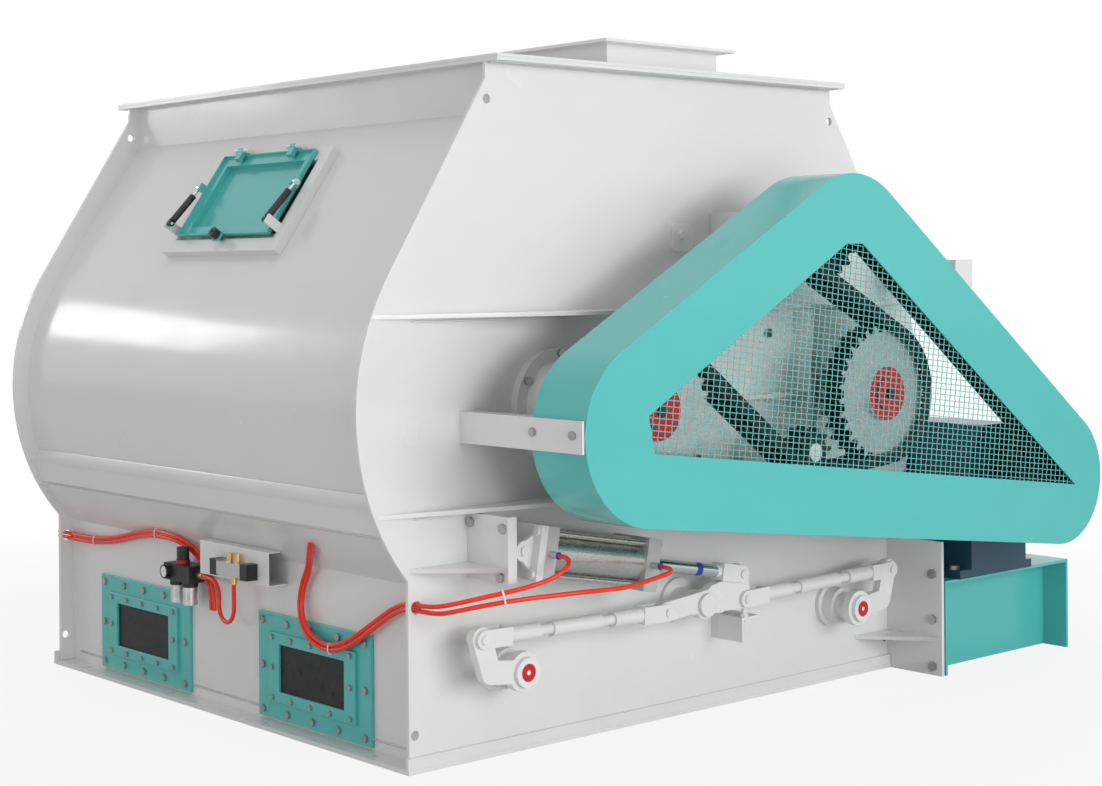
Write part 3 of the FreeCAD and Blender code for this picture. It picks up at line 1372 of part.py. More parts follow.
def make_air_units():
    wall = size("channel_wall")
    near, far = size("channel_near_y"), size("channel_far_y")
    low, high = size("channel_low"), size("channel_high")
    out = -size("channel_out")
    panel = -size("panel_half_width")
    lean = (size("ledge_foot_half") - size("panel_half_width")) / (
        size("ledge_foot_height") - size("panel_bend_height"))
    upper = panel - (high - size("panel_bend_height")) * lean - size("seat_clearance")
    pieces = [block((out, near, low), (out + wall, far, high)),
              block((out, near, low), (panel, far, low + wall)),
              block((out, near, high - wall), (upper, far, high))]
    feature("valve_channel", union(pieces))
    near, far = size("unit_near_y"), size("unit_far_y")
    low, high = size("unit_low"), size("unit_high")
    middle_x = -size("unit_out") + 28
    out = middle_x - 25
    back = middle_x + 25
    pieces = [block((out, near, low), (back, far - 6, high)),
              block((back - 4, near + 36, low + 4), (panel, far - 30, high - 4)),
              rod_y(middle_x, near - 12, near + 1, (low + high) / 2, 11),
              rod_y(middle_x, far - 7, far + 8, (low + high) / 2, 11)]
    for y in (near + 36, near + 104):
        pieces.append(rod_z(middle_x, y, low - size("bowl_length"), low + 1, size("bowl_radius")))
        pieces.append(rod_z(middle_x, y, low - 14, low + 1, size("bowl_radius") + 3))
    pieces.append(rod_x(out - 12, out + 1, far - 26, (low + high) / 2, size("gauge_radius")))
    pieces.append(rod_z(middle_x, size("unit_knob_y"), high - 1, high + 12, size("unit_knob_radius") + 2))
    unit = union(pieces)
    unit = unit.cut(rod_y(middle_x, far - 4, far + 9, (low + high) / 2, size("air_port_radius")))
    bore = rod_z(middle_x, size("unit_knob_y"), high, high + 13, 8.05)
    feature("air_unit", unit.cut(bore))
    knob = union([rod_z(middle_x, size("unit_knob_y"), high + 13, high + size("unit_knob_height"),
                        size("unit_knob_radius")),
                  rod_z(middle_x, size("unit_knob_y"), high + 1, high + 14, 8)])
    feature("regulator_knob", knob)
    near, far = size("valve_near_y"), size("valve_far_y")
    z, half = size("valve_centre_z"), size("valve_height") / 2
    face = -size("channel_out")
    body = block((face - 34, near, z - half + 4), (face, far, z + half - 4))
    coils = [block((face - 36, near - 34, z - half), (face, near + 1, z + half)),
             block((face - 36, far - 1, z - half), (face, far + 34, z + half))]
    feature("solenoid_valve", union([body] + coils))
    fittings = []
    radius, length = size("fitting_radius"), size("fitting_length")
    x = face - 17
    for y in (-152, -192):
        fittings.append(rod_z(x, y, z + half - 4, z + half - 4 + length, radius))
    fittings.append(rod_z(x, -172, z - half + 4 - length, z - half + 4, radius))
    y = size("unit_near_y") - 12
    fittings.append(rod_y(middle_x, y - length, y, (size("unit_low") + size("unit_high")) / 2, radius))
    feature("air_fittings", group(fittings))


def hose(label, routes):
    """Flexible tubes: straight runs joined by tangent arcs along each route."""
    tubes = []
    radius = size("hose_radius")
    for points in routes:
        points = [Vector(*point) for point in points]
        curves = []
        start = points[0]
        least = None
        for k in range(1, len(points) - 1):
            back = points[k - 1] - points[k]
            ahead = points[k + 1] - points[k]
            shorter = min(back.Length, ahead.Length)
            half_turn = (math.pi - back.getAngle(ahead)) / 2
            trim = 0.45 * shorter
            turn_radius = trim / math.tan(half_turn)
            least = turn_radius if least is None else min(least, turn_radius)
            a = points[k] + back.normalize() * trim
            c = points[k] + ahead.normalize() * trim
            centre_way = (back + ahead).normalize()
            centre = points[k] + centre_way * (turn_radius / math.cos(half_turn))
            b = centre - centre_way * turn_radius
            curves.append(Part.LineSegment(start, a).toShape())
            curves.append(Part.Arc(a, b, c).toShape())
            start = c
        curves.append(Part.LineSegment(start, points[-1]).toShape())
        path = Part.Wire(curves)
        way = (points[1] - points[0]).normalize()
        ring = Part.Wire(Part.Circle(points[0], way, radius).toShape())
        tube = path.makePipeShell([ring], True, False)
        length = path.Length
        filled = math.pi * radius ** 2 * length
        print("%s length %.1f, least turn radius %.1f, volume ratio %.4f" % (
            label, length, least, tube.Volume / filled))
        tubes.append(tube)
    feature(label, group(tubes))


def twin(points, side):
    """One of a pair of tubes: each point is x, y, z and the y and z share of the spread."""
    spread = side * size("hose_spread")
    return [(x, y + spread * dy, z + spread * dz) for x, y, z, dy, dz in points]


def port_loop(port, away, radius):
    """Route points of a quarter turn that ends square to a port in the front face."""
    out = Vector(0, -1, 0)
    away = Vector(*away).normalize()
    side = 2 * radius * math.tan(math.radians(15))
    one = port + out * (0.98 * side)
    two = one + (out * math.cos(math.radians(30)) + away * math.sin(math.radians(30))) * side
    three = two + (out * math.cos(math.radians(60)) + away * math.sin(math.radians(60))) * side
    four = three + away * (1.4 * side)
    return [tuple(point) for point in (four, three, two, one, port)]


def make_hoses():
    hole_x, hole_z = -hose_hole_x, size("hose_hole_z")
    far_pair = [(hole_x, half_length + 40, hole_z, 0, 1), (hole_x, 880, hole_z, 0, 1),
                (-902, 815, 405, 0, 1), (-900, 740, 407, 0, 1), (-900, 660, 415, 0, 1),
                (-900, 579, 428, 0, 1), (-903, 500, 446, 0, 1), (-910, 420, 461, 0, 1),
                (-914, 338, 469, 0, 1), (-914, 270, 469, 0, 1), (-912, 206, 463, -0.2, 1),
                (-904, 150, 445, -0.5, 0.9), (-898, 106, 414, -0.7, 0.7), (-897, 74, 372, -0.9, 0.4),
                (-899, 52, 326, -1.1, 0.1), (-900, 46, 276, -1.2, 0)]
    hose("hose_far_upper", [twin(far_pair, 1)])
    hose("hose_far_lower", [twin(far_pair, -1)])
    middle_x = -size("unit_out") + 28
    z = (size("unit_low") + size("unit_high")) / 2
    y = size("unit_near_y") - 12 - size("fitting_length")
    valve_x = -size("channel_out") - 17
    low = size("valve_centre_z") - size("valve_height") / 2 + 4 - size("fitting_length")
    hose("hose_supply", [[(middle_x, y, z), (middle_x, y - 38, z), (middle_x - 4, y - 76, z - 10),
                          (middle_x - 9, y - 101, z - 39), (middle_x - 14, y - 104, z - 77),
                          (middle_x - 20, y - 134, z - 106), (middle_x - 25, y - 178, z - 107),
                          (valve_x + 2, y - 209, z - 79), (valve_x, -172, low - 42), (valve_x, -172, low)]])
    pivot, heading, reach = cylinder_frame()
    a, b, c, d = cylinder_stations()
    half = size("cylinder_cap") / 2
    turn = Rotation(Vector(0, 1, 0), -heading)
    ports = []
    for station in ((a + b) / 2, (c + d) / 2):
        tip = turn.multVec(Vector(station, -half - size("port_reach"), 0))
        ports.append(tip + Vector(pivot[0], link_y, pivot[1]))
    front = -half_length
    near_pair = [(-963, -540, 527, 0.6, 0.8), (-946, -511, 505, 0.65, 0.75), (-927, -481, 482, 0.75, 0.65),
                 (-908, -448, 448, 0.85, 0.5), (-903, -418, 412, 1, 0.2), (-904, -404, 366, 1, -0.2),
                 (-910, -414, 322, 0.9, -0.6), (-915, -446, 284, 0.6, -0.9), (-916, -496, 262, 0.2, -1),
                 (-916, -556, 256, 0, -1), (-916, -620, 272, -0.2, -1), (-912, -688, 308, -0.3, -1),
                 (-907, -756, 350, -0.3, -1), (hole_x + 1, -822, 388, -0.2, -1),
                 (hole_x, -880, hole_z, 0, -1), (hole_x, -952, hole_z, 0, -1)]
    rear = [(-901, front - 84, 420), (-882, front - 130, 432), (-848, front - 172, 445),
            (-802, front - 208, 457), (-752, front - 240, 469)]
    near = [(-903, front - 84, 402), (-884, front - 126, 412), (-844, front - 166, 424),
            (-792, front - 204, 434), (-730, front - 234, 440), (-662, front - 256, 442),
            (-590, front - 268, 442), (-516, front - 274, 440), (-444, front - 276, 438)]
    rear += port_loop(ports[0], (-0.88, 0.08, -0.46), 60)
    near += port_loop(ports[1], (-0.99, 0.02, -0.14), 60)
    hose("hose_cylinder_rear", [twin(near_pair, -1) + rear])
    hose("hose_cylinder_front", [twin(near_pair, 1) + near])


# Fasteners, seals and lugs on the drive end

def make_bolts(heads):
    face = -half_length
    for x, z in ((262, 1057), (271, 733), (-30, 1040), (-30, 720)):
        heads.append(hexagon(x, face - 112, z, 15, 10, (0, -1, 0)))
    for x in (-spacing, spacing):
        for k in range(6):
            bx, bz = polar((x, axis_z), 134, 30 + 60 * k)
            heads.append(hexagon(bx, face - size("bearing_flange_thickness"), bz, 12, 9, (0, -1, 0)))
            heads.append(hexagon(bx, half_length + size("bearing_flange_thickness"), bz, 12, 9, (0, 1, 0)))
    x = size("cylinder_bracket_x")
    foot = size("cylinder_bracket_foot")
    for out, z in ((18, foot + 143), (143, foot + 137), (134, foot + 15)):
        heads.append(hexagon(x, face - out, z, 13, 9, (-1, 0, 0)))
    left_x = size("guard_left_x") - size("guard_left_radius") - size("seat_clearance") - size("bracket_wall")
    front = guard_y
    for y in (front + size("guard_depth") - 15, front + 36):
        heads.append(hexagon(left_x, y, size("bracket_foot_height") + 44, 11, 8, (-1, 0, 0)))
    x = size("side_wall_x")
    for z in (27, 170, 308):
        heads.append(hexagon(x, motor_base_y + 33, z, 15, 10, (-1, 0, 0)))
    top = size("motor_base_height") + 26
    half = size("reducer_half_width")
    front = reducer_front()
    back = front + size("reducer_length")
    for x in (size("drive_x") - half + 18, size("drive_x") + half - 18):
        for y in (front + 60, back - 50):
            heads.append(hexagon(x, y, top, 15, 12, (0, 0, 1)))
    x, z = 29, 1331
    lug = block((x - 40, face - 10, z - 39), (x + 40, face, z + 39))
    edges = [edge for edge in lug.Edges if abs(edge.Vertexes[0].Point.y - edge.Vertexes[1].Point.y) > 5]
    lug = lug.makeFillet(18, edges)
    heads.append(union([lug, hexagon(x - 6, face - 9, z + 8, 14, 14, (0, -1, 0))]))
    feature("bolts", group(heads))


make_end_plates()
make_shells()
make_ridge()
make_lower_panels()
make_ledges()
make_base_flange()
make_top()
make_ribs()
make_bearings()
make_rotor("rotor_left", -spacing, 20, -52)
make_rotor("rotor_right", spacing, 42, 52)
path = chain_path()
make_chain(path)
make_sprockets(path)
make_guard()
make_guard_brackets()
make_drive_bracket()
make_drive_unit()
make_motor_base()
make_doors()
make_rocker()
make_tie_rods()
make_cylinder()
window_bolts = make_windows()
make_access()
make_air_units()
make_hoses()
make_bolts(window_bolts)

doc.recompute()
for obj in doc.Objects:
    if "Invalid" in obj.State or "Error" in obj.State:
        raise RuntimeError("%s is in state %s" % (obj.Label, obj.State))
os.makedirs("parts", exist_ok=True)
for obj in NODES:
    if obj.Shape.isNull() or not obj.Shape.isValid():
        raise RuntimeError("%s has no valid shape" % obj.Label)
    obj.Shape.exportStep("parts/%s.step" % obj.Label)
    box = obj.Shape.BoundBox
    print("%-22s solids %3d  volume %12.0f  x %7.1f %7.1f  y %8.1f %8.1f  z %7.1f %7.1f" % (
        obj.Label, len(obj.Shape.Solids), obj.Shape.Volume, box.XMin, box.XMax, box.YMin, box.YMax,
        box.ZMin, box.ZMax))
print(len(NODES), "sub-parts")
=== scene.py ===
"""Finishes and fine detail for a twin-shaft feed mixer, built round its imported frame."""

import json
import math

import bmesh
import bpy
from bpy.props import FloatProperty, FloatVectorProperty, IntProperty, PointerProperty
from mathutils import Matrix, Vector

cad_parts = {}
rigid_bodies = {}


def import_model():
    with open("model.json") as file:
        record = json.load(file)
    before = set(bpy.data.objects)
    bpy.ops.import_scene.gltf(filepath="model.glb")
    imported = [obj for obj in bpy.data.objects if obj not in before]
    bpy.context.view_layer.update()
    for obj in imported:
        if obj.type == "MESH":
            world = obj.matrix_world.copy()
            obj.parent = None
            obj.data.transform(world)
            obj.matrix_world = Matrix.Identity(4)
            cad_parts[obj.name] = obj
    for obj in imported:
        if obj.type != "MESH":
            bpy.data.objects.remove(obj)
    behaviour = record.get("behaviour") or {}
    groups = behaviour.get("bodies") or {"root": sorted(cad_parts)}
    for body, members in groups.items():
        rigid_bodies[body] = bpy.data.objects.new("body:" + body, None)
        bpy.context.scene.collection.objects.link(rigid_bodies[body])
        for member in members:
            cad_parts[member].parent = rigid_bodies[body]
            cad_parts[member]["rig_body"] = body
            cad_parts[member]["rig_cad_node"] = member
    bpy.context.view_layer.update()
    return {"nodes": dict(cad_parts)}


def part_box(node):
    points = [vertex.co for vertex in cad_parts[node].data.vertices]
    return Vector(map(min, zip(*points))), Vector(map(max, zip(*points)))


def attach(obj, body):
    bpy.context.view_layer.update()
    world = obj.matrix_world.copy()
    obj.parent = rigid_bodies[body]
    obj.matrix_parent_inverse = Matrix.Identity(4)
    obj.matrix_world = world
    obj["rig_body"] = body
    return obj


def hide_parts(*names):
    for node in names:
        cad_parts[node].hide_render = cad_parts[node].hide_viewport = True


bl_info = {
    "name": "Feed mixer",
    "version": (1, 0, 0),
    "blender": (4, 5, 0),
    "location": "3D View > Sidebar > Mixer",
    "description": "Finishes, hoses, woven guard and small fittings of a twin-shaft feed mixer",
    "category": "Add Mesh",
}

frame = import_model()
NODES = frame["nodes"]

# The picture is 1102 by 786, taken with a long lens from the left front corner.
PICTURE_WIDTH = 1102
FOCAL_PIXELS = 1925.6
CAMERA_PLACE = Vector((-3.810, -4.721, 1.250))
CAMERA_YAW = 0.7231
CAMERA_ROLL = -0.0078
HORIZON_ROW = 266.97
PICTURE_HEIGHT = 786

CHAIN_CENTRE = -1.265
CYLINDER_PIVOT = Vector((-0.682, -1.025, 0.540))
CYLINDER_WAY = Vector((0.98368, 0.0, -0.17994))

# Routes of the air hoses, in metres
HOSE_ROUTES = {
    "hose_far_upper": [
        (-0.9080, 0.9590, 0.4148), (-0.9080, 0.8800, 0.4148), (-0.9020, 0.8150, 0.4118),
        (-0.9000, 0.7400, 0.4138), (-0.9000, 0.6600, 0.4218), (-0.9000, 0.5790, 0.4348),
        (-0.9030, 0.5000, 0.4528), (-0.9100, 0.4200, 0.4678), (-0.9140, 0.3380, 0.4758),
        (-0.9140, 0.2700, 0.4758), (-0.9120, 0.2046, 0.4698), (-0.9040, 0.1466, 0.4511),
        (-0.8980, 0.1012, 0.4188), (-0.8970, 0.0679, 0.3747), (-0.8990, 0.0445, 0.3267),
        (-0.9000, 0.0378, 0.2760)],
    "hose_far_lower": [
        (-0.9080, 0.9590, 0.4012), (-0.9080, 0.8800, 0.4012), (-0.9020, 0.8150, 0.3982),
        (-0.9000, 0.7400, 0.4002), (-0.9000, 0.6600, 0.4082), (-0.9000, 0.5790, 0.4212),
        (-0.9030, 0.5000, 0.4392), (-0.9100, 0.4200, 0.4542), (-0.9140, 0.3380, 0.4622),
        (-0.9140, 0.2700, 0.4622), (-0.9120, 0.2074, 0.4562), (-0.9040, 0.1534, 0.4389),
        (-0.8980, 0.1108, 0.4092), (-0.8970, 0.0801, 0.3693), (-0.8990, 0.0595, 0.3253),
        (-0.9000, 0.0542, 0.2760)],
    "hose_supply": [
        (-0.9350, 0.0400, 0.3790), (-0.9350, 0.0020, 0.3790), (-0.9390, -0.0360, 0.3690),
        (-0.9440, -0.0610, 0.3400), (-0.9490, -0.0640, 0.3020), (-0.9550, -0.0940, 0.2730),
        (-0.9600, -0.1380, 0.2720), (-0.9650, -0.1690, 0.3000), (-0.9670, -0.1720, 0.3430),
        (-0.9670, -0.1720, 0.3850)],
    "hose_cylinder_rear": [
        (-0.9630, -0.5441, 0.5216), (-0.9460, -0.5154, 0.4999), (-0.9270, -0.4861, 0.4776),
        (-0.9080, -0.4538, 0.4446), (-0.9030, -0.4248, 0.4106), (-0.9040, -0.4108, 0.3674),
        (-0.9100, -0.4201, 0.3261), (-0.9150, -0.4501, 0.2901), (-0.9160, -0.4974, 0.2688),
        (-0.9160, -0.5560, 0.2628), (-0.9160, -0.6186, 0.2788), (-0.9120, -0.6860, 0.3148),
        (-0.9070, -0.7540, 0.3568), (-0.9070, -0.8206, 0.3948), (-0.9080, -0.8800, 0.4148),
        (-0.9080, -0.9520, 0.4148), (-0.9010, -1.0030, 0.4200), (-0.8820, -1.0490, 0.4320),
        (-0.8480, -1.0910, 0.4450), (-0.8020, -1.1270, 0.4570), (-0.7520, -1.1590, 0.4690),
        (-0.6947, -1.1893, 0.4869), (-0.6549, -1.1929, 0.5077), (-0.6303, -1.1791, 0.5205),
        (-0.6161, -1.1525, 0.5279), (-0.6161, -1.1210, 0.5279)],
    "hose_cylinder_front": [
        (-0.9630, -0.5359, 0.5324), (-0.9460, -0.5066, 0.5101), (-0.9270, -0.4759, 0.4864),
        (-0.9080, -0.4422, 0.4514), (-0.9030, -0.4112, 0.4134), (-0.9040, -0.3972, 0.3646),
        (-0.9100, -0.4079, 0.3179), (-0.9150, -0.4419, 0.2779), (-0.9160, -0.4946, 0.2552),
        (-0.9160, -0.5560, 0.2492), (-0.9160, -0.6214, 0.2652), (-0.9120, -0.6900, 0.3012),
        (-0.9070, -0.7580, 0.3432), (-0.9070, -0.8234, 0.3812), (-0.9080, -0.8800, 0.4012),
        (-0.9080, -0.9520, 0.4012), (-0.9030, -1.0030, 0.4020), (-0.8840, -1.0450, 0.4120),
        (-0.8440, -1.0850, 0.4240), (-0.7920, -1.1230, 0.4340), (-0.7300, -1.1530, 0.4400),
        (-0.6620, -1.1750, 0.4420), (-0.5900, -1.1870, 0.4420), (-0.5160, -1.1930, 0.4400),
        (-0.4440, -1.1950, 0.4380), (-0.3480, -1.1947, 0.4504), (-0.3035, -1.1956, 0.4567),
        (-0.2759, -1.1800, 0.4606), (-0.2600, -1.1525, 0.4628), (-0.2600, -1.1210, 0.4628)],
}


class MixerColours(bpy.types.PropertyGroup):
    """Colours of the machine's finishes."""

    white: FloatVectorProperty(name="White enamel", description="Enamel of the body", subtype="COLOR",
                               size=4, min=0, max=1, default=(0.76, 0.76, 0.755, 1))
    teal: FloatVectorProperty(name="Teal enamel", description="Enamel of the guard and the motor base",
                              subtype="COLOR", size=4, min=0, max=1, default=(0.088, 0.505, 0.482, 1))
    red: FloatVectorProperty(name="Red enamel", description="Shaft end caps", subtype="COLOR", size=4,
                             min=0, max=1, default=(0.52, 0.010, 0.014, 1))
    machine_blue: FloatVectorProperty(name="Machine blue", description="Gear unit and motor",
                                      subtype="COLOR", size=4, min=0, max=1,
                                      default=(0.012, 0.060, 0.095, 1))
    hose: FloatVectorProperty(name="Hose", description="Air hoses", subtype="COLOR", size=4, min=0,
                              max=1, default=(0.85, 0.035, 0.012, 1))


class MixerSizes(bpy.types.PropertyGroup):
    """Sizes of the added detail."""

    hose_diameter: FloatProperty(name="Hose diameter", description="Outer diameter of the air hoses",
                                 unit="LENGTH", min=0.002, default=0.012)
    wire_diameter: FloatProperty(name="Wire diameter", description="Wire of the guard's mesh",
                                 unit="LENGTH", min=0.0005, default=0.0024)
    wire_pitch_across: FloatProperty(name="Wire pitch across", description="Between upright wires",
                                     unit="LENGTH", min=0.004, default=0.0225)
    wire_pitch_up: FloatProperty(name="Wire pitch up", description="Between level wires",
                                 unit="LENGTH", min=0.004, default=0.0155)
    wire_turn: FloatProperty(name="Wire turn", description="Turn of the weave in the guard's face",
                             subtype="ANGLE", default=math.radians(7))
    edge_radius: FloatProperty(name="Edge radius", description="Rounding of cut plate edges",
                               unit="LENGTH", min=0, default=0.0012)
    bead_width: FloatProperty(name="Weld bead", description="Width of a weld bead", unit="LENGTH",
                              min=0.001, default=0.006)
    bead_step: FloatProperty(name="Weld ripple", description="Length of one ripple of a weld bead",
                             unit="LENGTH", min=0.001, default=0.007)
    dial_ticks: IntProperty(name="Dial ticks", description="Marks on the pressure gauge", min=4, default=11)


def deselect():
    if bpy.context.object and bpy.context.object.mode != "OBJECT":
        bpy.ops.object.mode_set(mode="OBJECT")
    bpy.ops.object.select_all(action="DESELECT")


def activate(piece):
    deselect()
    piece.select_set(True)
    bpy.context.view_layer.objects.active = piece


def settle(piece, name):
    """Name a finished piece and leave its place in its mesh."""
    activate(piece)
    bpy.ops.object.transform_apply(location=True, rotation=True, scale=True)
    piece.name = name
    piece.data.name = name
    return piece


def join(pieces, name):
    deselect()
    for piece in pieces:
        piece.select_set(True)
    bpy.context.view_layer.objects.active = pieces[0]
    if len(pieces) > 1:
        bpy.ops.object.join()
    return settle(bpy.context.object, name)


def apply_modifiers(piece):
    activate(piece)
    for modifier in list(piece.modifiers):
        bpy.ops.object.modifier_apply(modifier=modifier.name)


def pick_faces(piece, wanted):
    """Edit the piece with only the faces selected whose centre and normal are wanted."""
    activate(piece)
    for polygon in piece.data.polygons:
        polygon.select = wanted(polygon.center, polygon.normal)
    for edge in piece.data.edges:
        edge.select = False
    for vertex in piece.data.vertices:
        vertex.select = False
    for polygon in piece.data.polygons:
        if polygon.select:
            for index in polygon.vertices:
                piece.data.vertices[index].select = True
    bpy.ops.object.mode_set(mode="EDIT")
    bpy.ops.mesh.select_mode(type="FACE")


def finish_piece(piece, material, body, replaced=(), angle=35, flat=False):
    """Give a piece its material, shading, body and the nodes that it stands for."""
    piece.data.materials.clear()
    piece.data.materials.append(bpy.data.materials[material])
    activate(piece)
    bpy.ops.object.shade_smooth_by_angle(angle=math.radians(angle))
    if flat:
        even = piece.modifiers.new("Flat faces", "WEIGHTED_NORMAL")
        even.keep_sharp = True
        even.weight = 90
        apply_modifiers(piece)
    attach(piece, body)
    if replaced:
        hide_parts(*replaced)
    return piece


def turned(axis_x=0.0, axis_y=0.0, axis_z=0.0):
    return (math.radians(axis_x), math.radians(axis_y), math.radians(axis_z))


def disc(place, radius, depth, rotation=(0, 0, 0), vertices=32):
    deselect()
    bpy.ops.mesh.primitive_cylinder_add(vertices=vertices, radius=radius, depth=depth, location=place,
                                        rotation=rotation)
    return bpy.context.object


def slab(low, high):
    """A plain block with softly bevelled edges between two corners."""
    deselect()
    low, high = Vector(low), Vector(high)
    bpy.ops.mesh.primitive_cube_add(size=1, location=(low + high) / 2)
    piece = bpy.context.object
    piece.scale = high - low
    bpy.ops.object.transform_apply(location=True, rotation=True, scale=True)
    bevel = piece.modifiers.new("Edges", "BEVEL")
    bevel.width = min(high - low) * 0.12
    bevel.segments = 2
    apply_modifiers(piece)
    return piece


# Materials


class Wiring:
    """Adds and links the nodes of one material or node group."""

    def __init__(self, tree):
        self.tree = tree

    def add(self, kind, values=(), **settings):
        made = self.tree.nodes.new("ShaderNode" + kind)
        for key, value in settings.items():
            setattr(made, key, value)
        for key, value in dict(values).items():
            self.put(made, key, value)
        return made

    def put(self, made, key, value):
        if isinstance(value, bpy.types.NodeSocket):
            self.tree.links.new(value, made.inputs[key])
        else:
            made.inputs[key].default_value = value

    def noise(self, where, scale, detail=3.0, rough=0.55):
        return self.add("TexNoise", {"Vector": where, "Scale": scale, "Detail": detail,
                                     "Roughness": rough}).outputs["Fac"]

    def math(self, operation, one, two=None, three=None):
        made = self.add("Math", operation=operation)
        for index, value in enumerate((one, two, three)):
            if value is not None:
                self.put(made, index, value)
        return made.outputs[0]

    def spread(self, value, low, high, to_low=0.0, to_high=1.0, smooth=False):
        made = self.add("MapRange", {"Value": value, "From Min": low, "From Max": high,
                                     "To Min": to_low, "To Max": to_high})
        made.interpolation_type = "SMOOTHSTEP" if smooth else "LINEAR"
        return made.outputs["Result"]

    def mix(self, share, one, two, blend="MIX"):
        made = self.add("Mix", data_type="RGBA", blend_type=blend)
        self.put(made, 0, share)
        self.put(made, 6, one)
        self.put(made, 7, two)
        return made.outputs[2]

    def bump(self, height, strength, distance, normal=None):
        values = {"Height": height, "Strength": strength, "Distance": distance}
        if normal is not None:
            values["Normal"] = normal
        return self.add("Bump", values).outputs["Normal"]


def group_tree(name, inputs, outputs):
    """An empty shader node group with its sockets, and its two end nodes."""
    tree = bpy.data.node_groups.new(name, "ShaderNodeTree")
    for label, kind, value in inputs:
        socket = tree.interface.new_socket(label, in_out="INPUT", socket_type="NodeSocket" + kind)
        if value is not None:
            socket.default_value = value
    for label, kind in outputs:
        tree.interface.new_socket(label, in_out="OUTPUT", socket_type="NodeSocket" + kind)
    wiring = Wiring(tree)
    return wiring, tree.nodes.new("NodeGroupInput"), tree.nodes.new("NodeGroupOutput")


def make_enamel_group():
    """Sprayed enamel: faint mottling, orange peel, slight waves of the sheet and dust low down."""
    wiring, start, end = group_tree(
        "Enamel surface",
        [("Colour", "Color", (0.8, 0.8, 0.8, 1)), ("Mottling", "Float", 0.05), ("Peel", "Float", 0.02),
         ("Waves", "Float", 0.10), ("Gloss low", "Float", 0.16), ("Gloss high", "Float", 0.30),
         ("Dust", "Float", 0.10)],
        [("Colour", "Color"), ("Roughness", "Float"), ("Normal", "Vector")])
    where = wiring.add("TexCoord").outputs["Object"]
    cloud = wiring.noise(where, 2.6, 5.0, 0.6)
    low = wiring.math("SUBTRACT", 1.0, start.outputs["Mottling"])
    shade = wiring.add("MapRange", {"Value": cloud, "From Min": 0.1, "From Max": 0.9, "To Min": low,
                                    "To Max": 1.0}).outputs["Result"]
    tint = wiring.add("CombineColor", {"Red": shade, "Green": shade, "Blue": shade}).outputs["Color"]
    colour = wiring.mix(1.0, start.outputs["Colour"], tint, "MULTIPLY")
    height = wiring.add("SeparateXYZ", {"Vector": where}).outputs["Z"]
    near_floor = wiring.spread(height, 0.02, 0.42, 1.0, 0.0, smooth=True)
    specks = wiring.spread(wiring.noise(where, 7.0, 3.0, 0.5), 0.25, 0.85)
    facing = wiring.add("NewGeometry").outputs["Normal"]
    upward = wiring.spread(wiring.add("SeparateXYZ", {"Vector": facing}).outputs["Z"], 0.5, 1.0)
    dirt = wiring.math("MULTIPLY", wiring.math("MAXIMUM", near_floor, upward), specks)
    dirt = wiring.math("MULTIPLY", dirt, start.outputs["Dust"])
    colour = wiring.mix(dirt, colour, (0.42, 0.39, 0.34, 1))
    wiring.put(end, "Colour", colour)
    sheen = wiring.noise(where, 5.0, 2.0, 0.5)
    rough = wiring.add("MapRange", {"Value": sheen, "From Min": 0.15, "From Max": 0.85,
                                    "To Min": start.outputs["Gloss low"],
                                    "To Max": start.outputs["Gloss high"]}).outputs["Result"]
    rough = wiring.math("ADD", rough, wiring.math("MULTIPLY", dirt, 0.3))
    wiring.put(end, "Roughness", rough)
    waves = wiring.bump(wiring.noise(where, 3.4, 2.0, 0.5), start.outputs["Waves"], 0.02)
    peel = wiring.bump(wiring.noise(where, 42.0, 1.0, 0.5), start.outputs["Peel"], 0.0012, waves)
    wiring.put(end, "Normal", peel)


def make_brushed_group():
    """Machined or brushed metal: fine streaks across one direction, smears and scuffs."""
    wiring, start, end = group_tree(
        "Brushed metal",
        [("Colour", "Color", (0.6, 0.6, 0.6, 1)), ("Stretch", "Vector", (1.0, 1.0, 1.0)),
         ("Grain", "Float", 0.15), ("Rough low", "Float", 0.22), ("Rough high", "Float", 0.42),
         ("Stain", "Float", 0.2)],
        [("Colour", "Color"), ("Roughness", "Float"), ("Normal", "Vector")])
    where = wiring.add("TexCoord").outputs["Object"]
    long = wiring.add("VectorMath", operation="MULTIPLY")
    wiring.put(long, 0, where)
    wiring.put(long, 1, start.outputs["Stretch"])
    streak = wiring.noise(long.outputs[0], 60.0, 4.0, 0.65)
    cloud = wiring.noise(where, 14.0, 5.0, 0.65)
    colour = wiring.mix(wiring.math("MULTIPLY", wiring.spread(cloud, 0.45, 0.75), start.outputs["Stain"]),
                        start.outputs["Colour"], (0.20, 0.19, 0.17, 1))
    wiring.put(end, "Colour", colour)
    rough = wiring.add("MapRange", {"Value": wiring.math("ADD", streak, wiring.math("MULTIPLY", cloud, 0.4)),
                                    "From Min": 0.4, "From Max": 1.0,
                                    "To Min": start.outputs["Rough low"],
                                    "To Max": start.outputs["Rough high"]}).outputs["Result"]
    wiring.put(end, "Roughness", rough)
    wiring.put(end, "Normal", wiring.bump(streak, start.outputs["Grain"], 0.0006))


